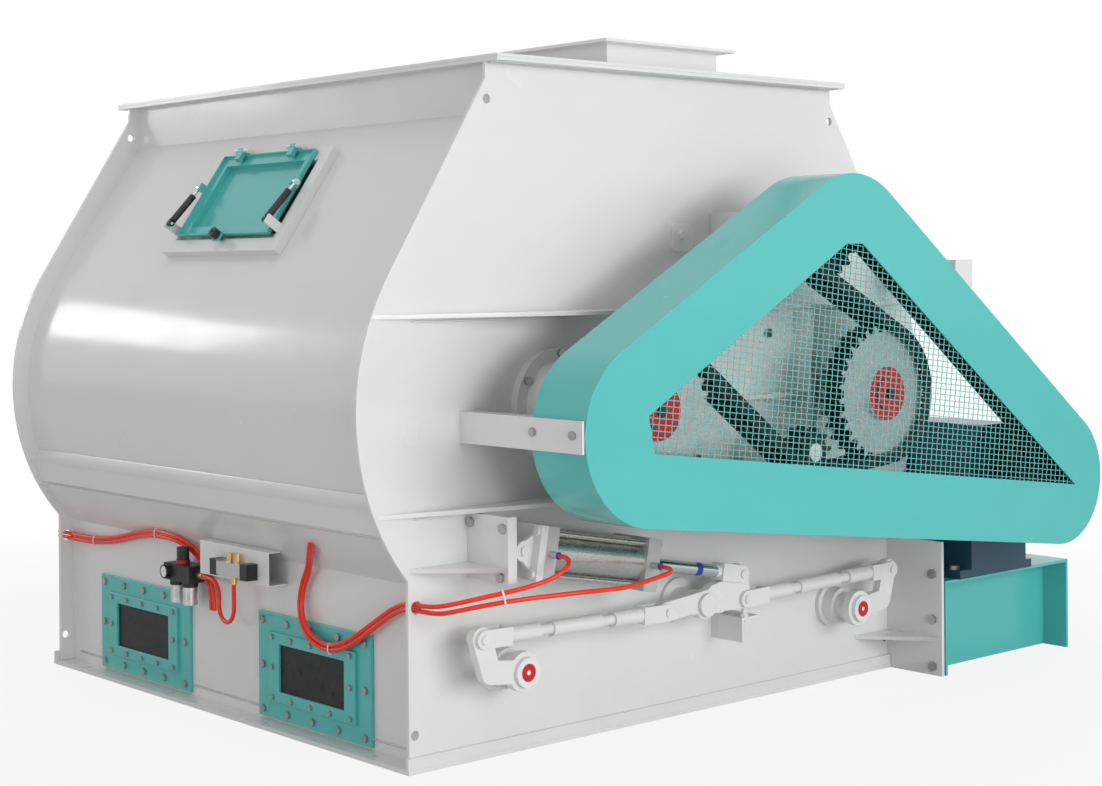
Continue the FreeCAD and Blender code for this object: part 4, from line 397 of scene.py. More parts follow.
def make_moulded_group():
    """Moulded plastic or rubber: fine grain with small changes of shade."""
    wiring, start, end = group_tree(
        "Moulded surface",
        [("Colour", "Color", (0.02, 0.02, 0.02, 1)), ("Grain scale", "Float", 900.0),
         ("Grain", "Float", 0.12), ("Rough low", "Float", 0.35), ("Rough high", "Float", 0.5)],
        [("Colour", "Color"), ("Roughness", "Float"), ("Normal", "Vector")])
    where = wiring.add("TexCoord").outputs["Object"]
    cloud = wiring.noise(where, 40.0, 4.0, 0.6)
    light = wiring.mix(0.35, start.outputs["Colour"], (0.5, 0.5, 0.5, 1), "SCREEN")
    share = wiring.math("MULTIPLY", wiring.spread(cloud, 0.4, 0.8), 0.12)
    wiring.put(end, "Colour", wiring.mix(share, start.outputs["Colour"], light))
    rough = wiring.add("MapRange", {"Value": cloud, "From Min": 0.3, "From Max": 0.7,
                                    "To Min": start.outputs["Rough low"],
                                    "To Max": start.outputs["Rough high"]}).outputs["Result"]
    wiring.put(end, "Roughness", rough)
    grain = wiring.add("TexNoise", {"Vector": where, "Scale": start.outputs["Grain scale"],
                                    "Detail": 2.0}).outputs["Fac"]
    wiring.put(end, "Normal", wiring.bump(grain, start.outputs["Grain"], 0.0004))


def surface(name, group, values, **plain):
    """A material whose shader takes colour, roughness and normal from a node group."""
    material = bpy.data.materials.new(name)
    material.use_nodes = True
    wiring = Wiring(material.node_tree)
    shader = material.node_tree.nodes["Principled BSDF"]
    made = wiring.add("Group", node_tree=bpy.data.node_groups[group])
    for key, value in values.items():
        made.inputs[key].default_value = value
    wiring.put(shader, "Base Color", made.outputs["Colour"])
    wiring.put(shader, "Roughness", made.outputs["Roughness"])
    wiring.put(shader, "Normal", made.outputs["Normal"])
    for key, value in plain.items():
        shader.inputs[key.replace("_", " ")].default_value = value
    return material, wiring, shader, made


def band_mask(wiring, way, start, low, high):
    """1 where the distance along a direction from a start point lies between two values."""
    where = wiring.add("TexCoord").outputs["Object"]
    offset = wiring.add("VectorMath", operation="SUBTRACT")
    wiring.put(offset, 0, where)
    wiring.put(offset, 1, start)
    dot = wiring.add("VectorMath", operation="DOT_PRODUCT")
    wiring.put(dot, 0, offset.outputs[0])
    wiring.put(dot, 1, way)
    along = dot.outputs["Value"]
    above = wiring.math("GREATER_THAN", along, low)
    below = wiring.math("LESS_THAN", along, high)
    return wiring.math("MULTIPLY", above, below)


def round_mask(wiring, centre, radius):
    """1 within a radius of an axis along Y."""
    where = wiring.add("SeparateXYZ", {"Vector": wiring.add("TexCoord").outputs["Object"]})
    dx = wiring.math("SUBTRACT", where.outputs["X"], centre[0])
    dz = wiring.math("SUBTRACT", where.outputs["Z"], centre[1])
    square = wiring.math("ADD", wiring.math("MULTIPLY", dx, dx), wiring.math("MULTIPLY", dz, dz))
    return wiring.math("LESS_THAN", square, radius * radius)


def enamel(name, colour, values=None, **plain):
    settings = {"Colour": colour}
    settings.update(values or {})
    plain.setdefault("Coat_Weight", 0.25)
    plain.setdefault("Coat_Roughness", 0.08)
    return surface(name, "Enamel surface", settings, **plain)


def metal(name, colour, values=None, **plain):
    settings = {"Colour": colour}
    settings.update(values or {})
    plain.setdefault("Metallic", 1.0)
    return surface(name, "Brushed metal", settings, **plain)


def overlay(parts, mask, colour, rough=None, metallic=None):
    """Lay another finish over a material where the mask is 1."""
    material, wiring, shader, made = parts
    base = shader.inputs["Base Color"].links[0].from_socket
    wiring.put(shader, "Base Color", wiring.mix(mask, base, colour))
    if rough is not None:
        old = shader.inputs["Roughness"].links[0].from_socket
        wiring.put(shader, "Roughness", wiring.add("Mix", {0: mask, 2: old, 3: rough}).outputs[0])
    if metallic is not None:
        links = shader.inputs["Metallic"].links
        old = links[0].from_socket if links else shader.inputs["Metallic"].default_value
        wiring.put(shader, "Metallic", wiring.add("Mix", {0: mask, 2: old, 3: metallic}).outputs[0])


class MIXER_OT_finishes(bpy.types.Operator):
    """Make the finishes and give each part of the frame its own."""

    bl_idname = "mixer.finishes"
    bl_label = "Finishes"

    def execute(self, context):
        colours = context.scene.mixer_colours
        make_enamel_group()
        make_brushed_group()
        make_moulded_group()
        white, teal, red = tuple(colours.white), tuple(colours.teal), tuple(colours.red)
        enamel("White enamel", white)
        enamel("White enamel links", white, {"Peel": 0.05, "Waves": 0.04, "Gloss low": 0.2,
                                             "Gloss high": 0.36, "Dust": 0.08})
        enamel("Teal enamel", teal, {"Mottling": 0.06, "Dust": 0.05})
        enamel("Wire enamel", teal, {"Mottling": 0.10, "Waves": 0.0, "Dust": 0.1})
        enamel("Red enamel", red, {"Waves": 0.0, "Dust": 0.1})
        enamel("Machine blue", tuple(colours.machine_blue), {"Peel": 0.2, "Dust": 0.12})
        metal("Bright steel", (0.55, 0.55, 0.55, 1), {"Stain": 0.45})
        metal("Oiled chain", (0.020, 0.019, 0.018, 1), {"Rough low": 0.28, "Rough high": 0.5}, Metallic=0.5)
        metal("Barrel steel", (0.60, 0.59, 0.57, 1), {"Stretch": (0.3, 6.0, 6.0), "Grain": 0.12,
                                                      "Rough low": 0.24, "Rough high": 0.36})
        metal("Hard chrome", (0.80, 0.81, 0.83, 1), {"Grain": 0.0, "Stain": 0.0, "Rough low": 0.06,
                                                     "Rough high": 0.12})
        metal("Plated brass", (0.72, 0.52, 0.22, 1), {"Stain": 0.1, "Rough low": 0.18})
        metal("Silver casting", (0.66, 0.66, 0.66, 1), {"Rough low": 0.3, "Rough high": 0.5})
        surface("Black moulding", "Moulded surface", {"Colour": (0.012, 0.012, 0.013, 1)})
        surface("White nylon", "Moulded surface", {"Colour": (0.78, 0.78, 0.76, 1)})
        surface("Dial card", "Moulded surface", {"Colour": (0.80, 0.80, 0.78, 1), "Grain": 0.02})
        surface("Dial ink", "Moulded surface", {"Colour": (0.02, 0.02, 0.03, 1), "Grain": 0.02})
        surface("Blue ring", "Moulded surface", {"Colour": (0.01, 0.05, 0.36, 1), "Rough low": 0.25})
        surface("Hose polyurethane", "Moulded surface",
                {"Colour": tuple(colours.hose), "Grain scale": 300.0, "Grain": 0.03, "Rough low": 0.16,
                 "Rough high": 0.28}, Specular_IOR_Level=0.35)
        surface("Dark pane", "Moulded surface", {"Colour": (0.018, 0.019, 0.019, 1), "Grain scale": 260.0,
                                                 "Grain": 0.10, "Rough low": 0.25, "Rough high": 0.45},
                Specular_IOR_Level=0.25)
        parts = metal("Zinc fasteners and lug", (0.46, 0.46, 0.45, 1), {"Grain": 0.05, "Stain": 0.35,
                                                                         "Rough low": 0.18})
        lug = band_mask(parts[1], (0.0, 0.0, 1.0), (0.0, 0.0, 0.0), 1.20, 1.50)
        front = band_mask(parts[1], (0.0, -1.0, 0.0), (0.0, 0.0, 0.0), 0.915, 1.1)
        overlay(parts, parts[1].math("MULTIPLY", lug, front), white, 0.28, 0.0)
        self.sprockets(red)
        self.links(white, red)
        self.fittings()
        for name, nodes in CARRIED_FINISHES.items():
            for node in nodes:
                piece = NODES[node]
                piece.data.materials.clear()
                piece.data.materials.append(bpy.data.materials[name])
        for piece in NODES.values():
            activate(piece)
            bpy.ops.object.shade_smooth_by_angle(angle=math.radians(32))
        return {"FINISHED"}

    def sprockets(self, red):
        """Bright wheels with a dark rear row and a red cap on the hub of each rotor."""
        for name, centre in (("Left sprocket", (-0.446, 0.890)), ("Right sprocket", (0.446, 0.890))):
            parts = metal(name, (0.66, 0.66, 0.66, 1), {"Stain": 0.30, "Grain": 0.2, "Rough low": 0.26})
            wiring = parts[1]
            # The rear row of teeth, behind the chain's middle, is given the chain's dark colour, darker than the
            # front row.
            back = band_mask(wiring, (0.0, 1.0, 0.0), (0.0, CHAIN_CENTRE, 0.0), -0.0335, 0.2)
            overlay(parts, back, (0.020, 0.019, 0.018, 1), 0.45, 0.5)
            cap = band_mask(wiring, (0.0, -1.0, 0.0), (0.0, CHAIN_CENTRE, 0.0), 0.0475, 0.2)
            overlay(parts, cap, red, 0.3, 0.0)
            bolt = wiring.math("MULTIPLY", round_mask(wiring, centre, 0.016), cap)
            overlay(parts, bolt, (0.08, 0.08, 0.08, 1), 0.35, 0.8)

    def links(self, white, red):
        """Doors of bare steel whose shaft ends carry a red cap; rod with its chrome and blue bands."""
        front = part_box("discharge_door_left")[0].y
        for name, x in (("Left door", -0.654), ("Right door", 0.654)):
            centre = (x, 0.230)
            parts = metal(name, (0.50, 0.50, 0.49, 1), {"Stain": 0.4})
            wiring = parts[1]
            shaft = band_mask(wiring, (0.0, -1.0, 0.0), (0.0, 0.0, 0.0), 0.921, 2.0)
            overlay(parts, shaft, white, 0.28, 0.0)
            end = band_mask(wiring, (0.0, -1.0, 0.0), (0.0, front, 0.0), -0.001, 0.2)
            cap = wiring.math("MULTIPLY", round_mask(wiring, centre, 0.023), end)
            overlay(parts, cap, red, 0.3, 0.0)
            bolt = wiring.math("MULTIPLY", round_mask(wiring, centre, 0.006), end)
            overlay(parts, bolt, white, 0.3, 0.0)
        parts = metal("Piston rod", (0.80, 0.81, 0.83, 1), {"Grain": 0.0, "Stain": 0.0, "Rough low": 0.06,
                                                            "Rough high": 0.12})
        wiring = parts[1]
        fork = band_mask(wiring, tuple(CYLINDER_WAY), tuple(CYLINDER_PIVOT), 0.738, 2.0)
        overlay(parts, fork, white, 0.3, 0.0)
        for low in (0.492, 0.655):
            band = band_mask(wiring, tuple(CYLINDER_WAY), tuple(CYLINDER_PIVOT), low, low + 0.022)
            overlay(parts, band, (0.01, 0.05, 0.30, 1), 0.3, 0.0)

    def fittings(self):
        """Air units and the cylinder: black heads, bright bowls, cast caps and a brushed tube."""
        parts = metal("Air unit", (0.66, 0.66, 0.66, 1), {"Rough low": 0.2, "Rough high": 0.35})
        wiring = parts[1]
        head = band_mask(wiring, (0.0, 0.0, 1.0), (0.0, 0.0, 0.0), 0.340, 1.0)
        overlay(parts, head, (0.014, 0.014, 0.015, 1), 0.4, 0.0)
        neck = band_mask(wiring, (0.0, 0.0, 1.0), (0.0, 0.0, 0.0), 0.4035, 0.4155)
        overlay(parts, neck, (0.45, 0.012, 0.012, 1), 0.35, 0.0)
        parts = metal("Valve", (0.62, 0.62, 0.62, 1), {"Rough low": 0.25})
        wiring = parts[1]
        for way in ((0.0, 1.0, 0.0), (0.0, -1.0, 0.0)):
            coil = band_mask(wiring, way, (0.0, -0.172, 0.0), 0.0595, 0.2)
            overlay(parts, coil, (0.014, 0.014, 0.015, 1), 0.4, 0.0)
        parts = metal("Cylinder", (0.62, 0.61, 0.58, 1), {"Stretch": (0.4, 5.0, 5.0), "Stain": 0.25,
                                                          "Rough low": 0.22, "Rough high": 0.34})
        wiring = parts[1]
        for low, high in ((-0.2, 0.0885), (0.4030, 0.56)):
            cap = band_mask(wiring, tuple(CYLINDER_WAY), tuple(CYLINDER_PIVOT), low, high)
            overlay(parts, cap, (0.50, 0.50, 0.49, 1), 0.42, 0.5)
        foot = band_mask(wiring, tuple(CYLINDER_WAY), tuple(CYLINDER_PIVOT), -0.2, 0.0475)
        overlay(parts, foot, tuple(bpy.context.scene.mixer_colours.white), 0.3, 0.0)


CARRIED_FINISHES = {
    "White enamel": ["shell_left", "shell_right", "lower_panel_left", "lower_panel_right", "top_cover"],
    "Zinc fasteners and lug": ["bolts"],
    "Bright steel": ["rotor_left", "rotor_right", "ridge_beam"],
    "Oiled chain": ["drive_chain", "drive_sprocket", "chain_idler", "chain_tensioner"],
    "Left sprocket": ["sprocket_left"],
    "Right sprocket": ["sprocket_right"],
    "Left door": ["discharge_door_left"],
    "Right door": ["discharge_door_right"],
    "White enamel links": ["tie_rod_left", "tie_rod_right", "flange_bearings"],
    "Piston rod": ["piston_rod"],
    "Cylinder": ["cylinder_barrel"],
    "Machine blue": ["gear_unit", "motor"],
    "Black moulding": ["latch_knob", "strut_tubes", "regulator_knob"],
    "Hard chrome": ["strut_rods"],
    "Air unit": ["air_unit"],
    "Valve": ["solenoid_valve"],
    "Plated brass": ["air_fittings"],
    "Dark pane": ["window_panes"],
}

# Plates whose edges are rounded: node and finish; each piece keeps the body of its node
ROUNDED_PLATES = [
    ("drive_end_plate", "White enamel"), ("far_end_plate", "White enamel"),
    ("end_ribs", "White enamel"), ("top_flange", "White enamel"), ("inlet_box", "White enamel"),
    ("ledge_rails", "White enamel"), ("base_flange", "White enamel"), ("side_bracket", "White enamel"),
    ("drive_bracket", "White enamel"), ("cylinder_bracket", "White enamel"),
    ("guard_brackets", "White enamel"), ("access_frame", "White enamel"),
    ("valve_channel", "White enamel"), ("stop_bracket", "White enamel links"),
    ("rocker_post", "White enamel links"), ("rocker", "White enamel links"),
    ("crank_left", "White enamel links"), ("crank_right", "White enamel links"),
    ("guard_cover", "Teal enamel"), ("motor_base", "Teal enamel"), ("window_frames", "Teal enamel"),
    ("access_door", "Teal enamel"),
]


def body_of_node(node):
    return NODES[node]["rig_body"]


class MIXER_OT_plates(bpy.types.Operator):
    """Copies of the plates and sheets with their cut edges rounded."""

    bl_idname = "mixer.plates"
    bl_label = "Rounded plates"

    def execute(self, context):
        radius = context.scene.mixer_sizes.edge_radius
        for node, finish in ROUNDED_PLATES:
            source = NODES[node]
            piece = source.copy()
            piece.data = source.data.copy()
            context.scene.collection.objects.link(piece)
            piece.parent = None
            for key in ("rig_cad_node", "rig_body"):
                if key in piece:
                    del piece[key]
            activate(piece)
            piece.matrix_world = Matrix.Identity(4)
            bpy.ops.object.mode_set(mode="EDIT")
            bpy.ops.mesh.select_all(action="SELECT")
            bpy.ops.mesh.remove_doubles(threshold=0.00002)
            bpy.ops.mesh.dissolve_limited(angle_limit=math.radians(0.5))
            bpy.ops.object.mode_set(mode="OBJECT")
            bevel = piece.modifiers.new("Edges", "BEVEL")
            bevel.width = radius
            bevel.segments = 2
            bevel.limit_method = "ANGLE"
            bevel.angle_limit = math.radians(50)
            bevel.use_clamp_overlap = True
            bevel.harden_normals = False
            apply_modifiers(piece)
            settle(piece, node + "_rounded")
            finish_piece(piece, finish, body_of_node(node), (node,), angle=62, flat=True)
        return {"FINISHED"}


class MIXER_OT_hoses(bpy.types.Operator):
    """Air hoses along their routes."""

    bl_idname = "mixer.hoses"
    bl_label = "Air hoses"

    def execute(self, context):
        diameter = context.scene.mixer_sizes.hose_diameter
        for name, route in HOSE_ROUTES.items():
            curve = bpy.data.curves.new(name + "_tube", "CURVE")
            curve.dimensions = "3D"
            line = curve.splines.new("NURBS")
            line.points.add(len(route) - 1)
            for point, place in zip(line.points, route):
                point.co = (*place, 1.0)
            line.order_u = 3
            line.use_endpoint_u = True
            line.resolution_u = 6
            curve.bevel_depth = diameter / 2
            curve.bevel_resolution = 4
            curve.use_fill_caps = True
            piece = bpy.data.objects.new(name + "_tube", curve)
            context.scene.collection.objects.link(piece)
            curve.materials.append(bpy.data.materials["Hose polyurethane"])
            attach(piece, "machine")
            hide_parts(name)
        return {"FINISHED"}


class MIXER_OT_woven_guard(bpy.types.Operator):
    """Woven wire in the guard's window."""

    bl_idname = "mixer.woven_guard"
    bl_label = "Woven wire"

    def strand(self, context, across, length, step, phase, thick):
        """One crimped wire along X or Z that starts at the low corner."""
        count = int(length / step) + 2
        curve = bpy.data.curves.new("strand", "CURVE")
        curve.dimensions = "3D"
        line = curve.splines.new("NURBS")
        line.points.add(count - 1)
        for index, point in enumerate(line.points):
            side = thick * (0.75 if (index + phase) % 2 else -0.75)
            along = index * step
            point.co = (along, side, 0, 1) if across else (0, side, along, 1)
        line.order_u = 3
        line.use_endpoint_u = True
        line.resolution_u = 2
        curve.bevel_depth = thick / 2
        curve.bevel_resolution = 1
        piece = bpy.data.objects.new("strand", curve)
        context.scene.collection.objects.link(piece)
        activate(piece)
        bpy.ops.object.convert(target="MESH")
        return bpy.context.object

    def execute(self, context):
        sizes = context.scene.mixer_sizes
        thick = sizes.wire_diameter
        low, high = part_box("guard_mesh")
        corners = {(round(v.co.x, 5), round(v.co.z, 5)) for v in NODES["guard_mesh"].data.vertices}
        middle = Vector((sum(c[0] for c in corners) / len(corners), sum(c[1] for c in corners) / len(corners)))
        corners = sorted(corners, key=lambda c: math.atan2(c[1] - middle.y, c[0] - middle.x))
        spare = 0.13
        start = (low.x - spare, low.z - spare)
        wide, tall = high.x - low.x + 2 * spare, high.z - low.z + 2 * spare
        pieces = []
        for across in (True, False):
            step = sizes.wire_pitch_across if across else sizes.wire_pitch_up
            between = sizes.wire_pitch_up if across else sizes.wire_pitch_across
            length, breadth = (wide, tall) if across else (tall, wide)
            for phase in (0, 1):
                wire = self.strand(context, across, length, step, phase + (0 if across else 1), thick)
                place = phase * between
                wire.location = (start[0], 0, start[1] + place) if across else (start[0] + place, 0, start[1])
                rows = wire.modifiers.new("Rows", "ARRAY")
                rows.use_relative_offset = False
                rows.use_constant_offset = True
                rows.constant_offset_displace = (0, 0, 2 * between) if across else (2 * between, 0, 0)
                rows.count = int(breadth / between / 2) + 1
                apply_modifiers(wire)
                pieces.append(wire)
        mesh = join(pieces, "woven_wire")
        turn = Matrix.Rotation(sizes.wire_turn, 4, "Y")
        centre = Vector((middle.x, 0, middle.y))
        mesh.matrix_world = Matrix.Translation(centre) @ turn @ Matrix.Translation(-centre)
        settle(mesh, "woven_wire")
        activate(mesh)
        bpy.ops.object.mode_set(mode="EDIT")
        for index, corner in enumerate(corners):
            following = corners[(index + 1) % len(corners)]
            out = Vector((following[1] - corner[1], 0, corner[0] - following[0])).normalized()
            bpy.ops.mesh.select_all(action="SELECT")
            bpy.ops.mesh.bisect(plane_co=(corner[0], 0, corner[1]), plane_no=out, clear_outer=True,
                                use_fill=False)
        bpy.ops.mesh.select_all(action="SELECT")
        bpy.ops.mesh.select_non_manifold(extend=False, use_wire=False, use_boundary=True,
                                         use_multi_face=False, use_non_contiguous=False, use_verts=False)
        bpy.ops.mesh.edge_face_add()
        bpy.ops.object.mode_set(mode="OBJECT")
        mesh.location.y = low.y + thick * 1.3
        settle(mesh, "woven_wire")
        finish_piece(mesh, "Wire enamel", "machine", ("guard_mesh",), angle=60)
        return {"FINISHED"}


class MIXER_OT_air_details(bpy.types.Operator):
    """Gauge, slotted bowl guards, blue rings and cable ties of the air units."""

    bl_idname = "mixer.air_details"
    bl_label = "Air unit details"

    def execute(self, context):
        self.gauge(context.scene.mixer_sizes.dial_ticks)
        self.bowl_guards()
        self.cable_ties()
        self.port_rings()
        return {"FINISHED"}

    def cable_ties(self):
        """Nylon ties round the pairs of hoses."""
        ties = []
        for one, two, index in (("hose_cylinder_rear", "hose_cylinder_front", 19),
                                ("hose_cylinder_rear", "hose_cylinder_front", 9),
                                ("hose_far_upper", "hose_far_lower", 3),
                                ("hose_far_upper", "hose_far_lower", 8)):
            first, second = Vector(HOSE_ROUTES[one][index]), Vector(HOSE_ROUTES[two][index])
            way = Vector(HOSE_ROUTES[one][index + 1]) - Vector(HOSE_ROUTES[one][index - 1])
            across = first - second
            deselect()
            bpy.ops.mesh.primitive_torus_add(major_radius=0.0074, minor_radius=0.0011, major_segments=28,
                                             minor_segments=8)
            tie = bpy.context.object
            tie.scale = (1 + across.length / 0.0148, 1, 2.2)
            side = across.normalized()
            along = way.normalized()
            tie.rotation_mode = "QUATERNION"
            tie.rotation_quaternion = Matrix((side, along.cross(side), along)).transposed().to_quaternion()
            tie.location = (first + second) / 2
            ties.append(tie)
        ties = join(ties, "cable_ties")
        finish_piece(ties, "White nylon", "machine", angle=60)

    def port_rings(self):
        """Blue release rings where the hoses enter the cylinder's ports."""
        rings = []
        for name in ("hose_cylinder_rear", "hose_cylinder_front"):
            place = Vector(HOSE_ROUTES[name][-1])
            deselect()
            bpy.ops.mesh.primitive_torus_add(location=place + Vector((0, -0.0022, 0)),
                                             rotation=turned(90, 0, 0), major_radius=0.0078,
                                             minor_radius=0.0021, major_segments=28, minor_segments=8)
            rings.append(bpy.context.object)
        rings = join(rings, "port_rings")
        finish_piece(rings, "Blue ring", NODES["cylinder_barrel"]["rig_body"], angle=60)

    def gauge(self, ticks):
        """Dial with marks and a needle in a black ring."""
        face_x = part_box("air_unit")[0].x
        centre = Vector((face_x, 0.196, 0.379))
        deselect()
        bpy.ops.mesh.primitive_torus_add(location=centre + Vector((-0.0004, 0, 0)), rotation=turned(0, 90, 0),
                                         major_radius=0.0178, minor_radius=0.0021, major_segments=40,
                                         minor_segments=10)
        ring = settle(bpy.context.object, "gauge_ring")
        finish_piece(ring, "Black moulding", "machine", angle=60)
        card = disc(centre + Vector((-0.0002, 0, 0)), 0.0172, 0.0018, turned(0, 90, 0), 40)
        card = settle(card, "gauge_card")
        finish_piece(card, "Dial card", "machine")
        marks = []
        for index in range(ticks):
            angle = math.radians(225 - 270 * index / (ticks - 1))
            way = Vector((0, -math.cos(angle), math.sin(angle)))
            length = 0.0032 if index % 5 == 0 else 0.002
            deselect()
            bpy.ops.mesh.primitive_cube_add(size=1, location=centre + way * (0.0150 - length / 2)
                                            + Vector((-0.0012, 0, 0)))
            mark = bpy.context.object
            mark.scale = (0.0003, 0.0006, length)
            mark.rotation_euler = (math.atan2(-way.y, way.z), 0, 0)
            marks.append(mark)
        deselect()
        bpy.ops.mesh.primitive_cone_add(vertices=8, radius1=0.0009, radius2=0.0002, depth=0.014,
                                        location=centre + Vector((-0.0013, -0.0024, 0.0044)),
                                        rotation=turned(28, 0, 0))
        needle = bpy.context.object
        needle.scale = (0.25, 1, 1)
        marks.append(needle)
        marks.append(disc(centre + Vector((-0.0013, 0, 0)), 0.0018, 0.0008, turned(0, 90, 0), 16))
        marks = join(marks, "gauge_marks")
        finish_piece(marks, "Dial ink", "machine")

    def bowl_guards(self):
        """Bright guards with upright slots round the two bowls."""
        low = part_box("air_unit")[0].z
        middle_x = -0.935
        pieces = []
        for y in (0.112, 0.180):
            bottom, top = low + 0.003, 0.338
            deselect()
            bpy.ops.mesh.primitive_cylinder_add(vertices=32, radius=0.0212, depth=top - bottom,
                                                end_fill_type="NOTHING",
                                                location=(middle_x, y, (top + bottom) / 2))
            sleeve = bpy.context.object
            bpy.ops.object.mode_set(mode="EDIT")
            for share in (0.22, 0.78):
                bpy.ops.mesh.select_all(action="SELECT")
                height = bottom + (top - bottom) * share
                bpy.ops.mesh.bisect(plane_co=(middle_x, y, height), plane_no=(0, 0, 1))
            bpy.ops.object.mode_set(mode="OBJECT")

            def in_slot(place, normal):
                angle = math.degrees(math.atan2(normal.y, normal.x)) % 90
                level = abs(place.z) < (top - bottom) * 0.2
                return level and 32 < angle < 58

            pick_faces(sleeve, in_slot)
            bpy.ops.mesh.delete(type="FACE")
            bpy.ops.object.mode_set(mode="OBJECT")
            wall = sleeve.modifiers.new("Wall", "SOLIDIFY")
            wall.thickness = 0.0012
            wall.offset = -1
            apply_modifiers(sleeve)
            pieces.append(sleeve)
        guards = join(pieces, "bowl_guards")
        finish_piece(guards, "Silver casting", "machine")


class MIXER_OT_welds(bpy.types.Operator):
    """Rippled weld beads along the straight seams."""

    bl_idname = "mixer.welds"
    bl_label = "Weld beads"

    def bead(self, start, end, width, step):
        """A row of short ripples from one point to another."""
        start, end = Vector(start), Vector(end)
        run = end - start
        deselect()
        bpy.ops.mesh.primitive_cone_add(vertices=8, radius1=width * 0.5, radius2=width * 0.36, depth=step,
                                        end_fill_type="NOTHING", location=(0, 0, step / 2))
        piece = bpy.context.object
        bpy.ops.object.transform_apply(location=True, rotation=True, scale=True)
        rows = piece.modifiers.new("Ripples", "ARRAY")
        rows.use_relative_offset = False
        rows.use_constant_offset = True
        rows.constant_offset_displace = (0, 0, step * 0.98)
        rows.count = max(1, int(run.length / step))
        apply_modifiers(piece)
        piece.rotation_mode = "QUATERNION"
        piece.rotation_quaternion = run.to_track_quat("Z", "Y")
        piece.location = start
        return piece

    def execute(self, context):
        sizes = context.scene.mixer_sizes
        width, step = sizes.bead_width, sizes.bead_step
        front = -0.919
        inner = 0.905
        seams = []
        for side in (-1, 1):
            seams.append(((side * 0.9975, -inner, 0.5855), (side * 0.9975, inner, 0.5855)))
            seams.append(((side * 0.8865, -inner, 0.0415), (side * 0.8865, inner, 0.0415)))
            for z in (1.124, 0.634):
                for x0, x1 in ((0.40, 0.93),):
                    seams.append(((side * x0, front - 0.001, z + 0.0075), (side * x1, front - 0.001, z + 0.0075)))
                    seams.append(((side * x0, front - 0.001, z - 0.0075), (side * x1, front - 0.001, z - 0.0075)))
        seams.append(((-0.66, front - 0.001, 1.7755), (0.66, front - 0.001, 1.7755)))
        beads = [self.bead(start, end, width, step) for start, end in seams]
        piece = join(beads, "weld_beads")
        finish_piece(piece, "White enamel links", "machine", angle=60)
        return {"FINISHED"}


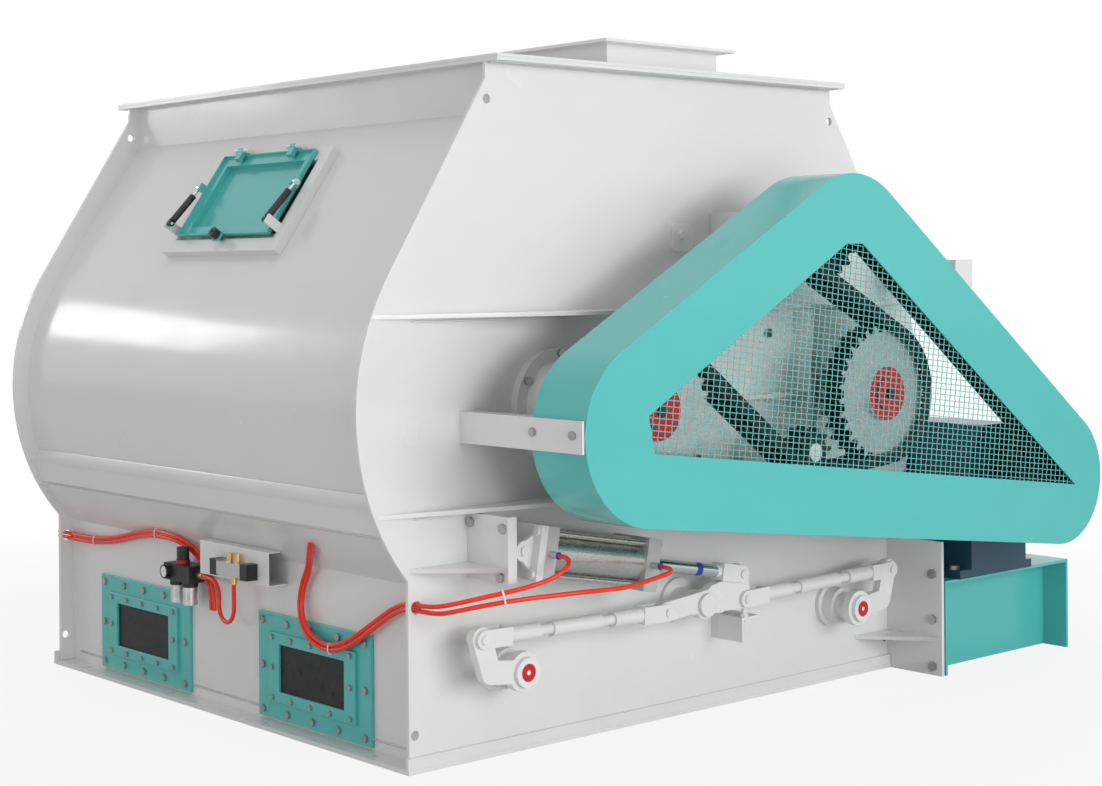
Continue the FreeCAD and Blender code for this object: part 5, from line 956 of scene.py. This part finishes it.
class MIXER_OT_stage(bpy.types.Operator):
    """Camera, pale floor, plain world and soft studio lamps."""

    bl_idname = "mixer.stage"
    bl_label = "Stage"

    def execute(self, context):
        scene = context.scene
        scene.view_settings.view_transform = "Standard"
        self.camera(scene)
        self.floor()
        self.world(scene)
        self.lamp("Key", (0.8, -8.8, 2.5), (0.0, -0.8, 0.7), 4.8, 275)
        self.lamp("Low", (-2.2, -7.4, 0.9), (0.0, -1.0, 0.4), 2.2, 78)
        self.lamp("Left", (-8.6, -0.6, 1.6), (-0.8, 0, 0.5), 2.6, 58)
        self.lamp("Over", (-0.6, -0.4, 6.5), (0, 0, 0.5), 5.0, 62)
        self.lamp("Window", (-3.4, 5.6, 2.75), (-1.0, 0.4, 1.08), 1.5, 26)
        return {"FINISHED"}

    def camera(self, scene):
        deselect()
        bpy.ops.object.camera_add(location=CAMERA_PLACE)
        camera = bpy.context.object
        camera.name = "Photograph"
        forward = Vector((math.sin(CAMERA_YAW), math.cos(CAMERA_YAW), 0))
        level = Vector((math.cos(CAMERA_YAW), -math.sin(CAMERA_YAW), 0))
        right = level * math.cos(CAMERA_ROLL) + Vector((0, 0, 1)) * math.sin(CAMERA_ROLL)
        up = right.cross(forward)
        camera.matrix_world = Matrix.Translation(CAMERA_PLACE) @ Matrix(
            (right, up, -forward)).transposed().to_4x4()
        data = camera.data
        data.sensor_width = 36
        data.lens = 36 * FOCAL_PIXELS / PICTURE_WIDTH
        data.shift_y = -(PICTURE_HEIGHT / 2 - HORIZON_ROW) / PICTURE_WIDTH
        data.clip_end = 200
        scene.camera = camera

    def floor(self):
        deselect()
        bpy.ops.mesh.primitive_plane_add(size=60, location=(0, 0, -0.001))
        floor = bpy.context.object
        floor.name = "Floor"
        material = bpy.data.materials.new("Floor")
        material.use_nodes = True
        wiring = Wiring(material.node_tree)
        shader = material.node_tree.nodes["Principled BSDF"]
        where = wiring.add("TexCoord").outputs["Object"]
        cloud = wiring.noise(where, 0.7, 3.0, 0.5)
        wiring.put(shader, "Base Color", wiring.mix(cloud, (0.62, 0.62, 0.62, 1), (0.66, 0.66, 0.66, 1)))
        shader.inputs["Roughness"].default_value = 0.7
        offset = wiring.add("VectorMath", operation="LENGTH")
        wiring.put(offset, 0, where)
        away = wiring.spread(offset.outputs["Value"], 1.5, 4.5, 0.86, 1.0, smooth=True)
        share = wiring.math("MULTIPLY", away, wiring.add("LightPath").outputs["Is Camera Ray"])
        glow = wiring.add("Emission", {"Color": (1, 1, 1, 1), "Strength": 1.0})
        blend = wiring.add("MixShader", {0: share})
        material.node_tree.links.new(shader.outputs[0], blend.inputs[1])
        material.node_tree.links.new(glow.outputs[0], blend.inputs[2])
        material.node_tree.links.new(blend.outputs[0], material.node_tree.nodes["Material Output"].inputs[0])
        floor.data.materials.append(material)

    def world(self, scene):
        world = bpy.data.worlds.new("Studio")
        scene.world = world
        world.use_nodes = True
        tree = world.node_tree
        tree.nodes.clear()
        wiring = Wiring(tree)
        path = wiring.add("LightPath")
        seen = wiring.math("MAXIMUM", path.outputs["Is Camera Ray"], path.outputs["Is Transmission Ray"])
        seen = wiring.math("MAXIMUM", seen, wiring.math("MULTIPLY", path.outputs["Is Glossy Ray"], 0.75))
        strength = wiring.spread(seen, 0.0, 1.0, 0.48, 1.0)
        shine = wiring.add("Background", {"Color": (1, 1, 1, 1), "Strength": strength})
        end = wiring.add("OutputWorld")
        tree.links.new(shine.outputs[0], end.inputs[0])

    def lamp(self, name, place, aim, width, power):
        deselect()
        bpy.ops.object.light_add(type="AREA", location=place)
        lamp = bpy.context.object
        lamp.name = name
        lamp.data.shape = "RECTANGLE"
        lamp.data.size = width
        lamp.data.size_y = width * 0.7
        lamp.data.energy = power
        lamp.rotation_mode = "QUATERNION"
        lamp.rotation_quaternion = (Vector(aim) - Vector(place)).to_track_quat("-Z", "Y")


class MIXER_PT_panel(bpy.types.Panel):
    """Lists the steps that dress the mixer."""

    bl_label = "Feed mixer"
    bl_idname = "MIXER_PT_panel"
    bl_space_type = "VIEW_3D"
    bl_region_type = "UI"
    bl_category = "Mixer"

    def draw(self, context):
        layout = self.layout
        for group in (context.scene.mixer_colours, context.scene.mixer_sizes):
            box = layout.box()
            for name in group.bl_rna.properties.keys():
                if name not in ("rna_type", "name"):
                    box.prop(group, name)
        for operator in STEPS:
            layout.operator(operator.bl_idname)


STEPS = (MIXER_OT_stage, MIXER_OT_finishes, MIXER_OT_hoses, MIXER_OT_plates, MIXER_OT_woven_guard,
         MIXER_OT_air_details, MIXER_OT_welds)
CLASSES = (MixerColours, MixerSizes) + STEPS + (MIXER_PT_panel,)


def register():
    for kind in CLASSES:
        bpy.utils.register_class(kind)
    bpy.types.Scene.mixer_colours = PointerProperty(type=MixerColours)
    bpy.types.Scene.mixer_sizes = PointerProperty(type=MixerSizes)


def unregister():
    del bpy.types.Scene.mixer_sizes
    del bpy.types.Scene.mixer_colours
    for kind in reversed(CLASSES):
        bpy.utils.unregister_class(kind)


def main():
    register()
    bpy.ops.mixer.stage()
    bpy.ops.mixer.finishes()
    bpy.ops.mixer.hoses()
    bpy.ops.mixer.plates()
    bpy.ops.mixer.woven_guard()
    bpy.ops.mixer.air_details()
    bpy.ops.mixer.welds()
    deselect()


if __name__ == "__main__":
    main()
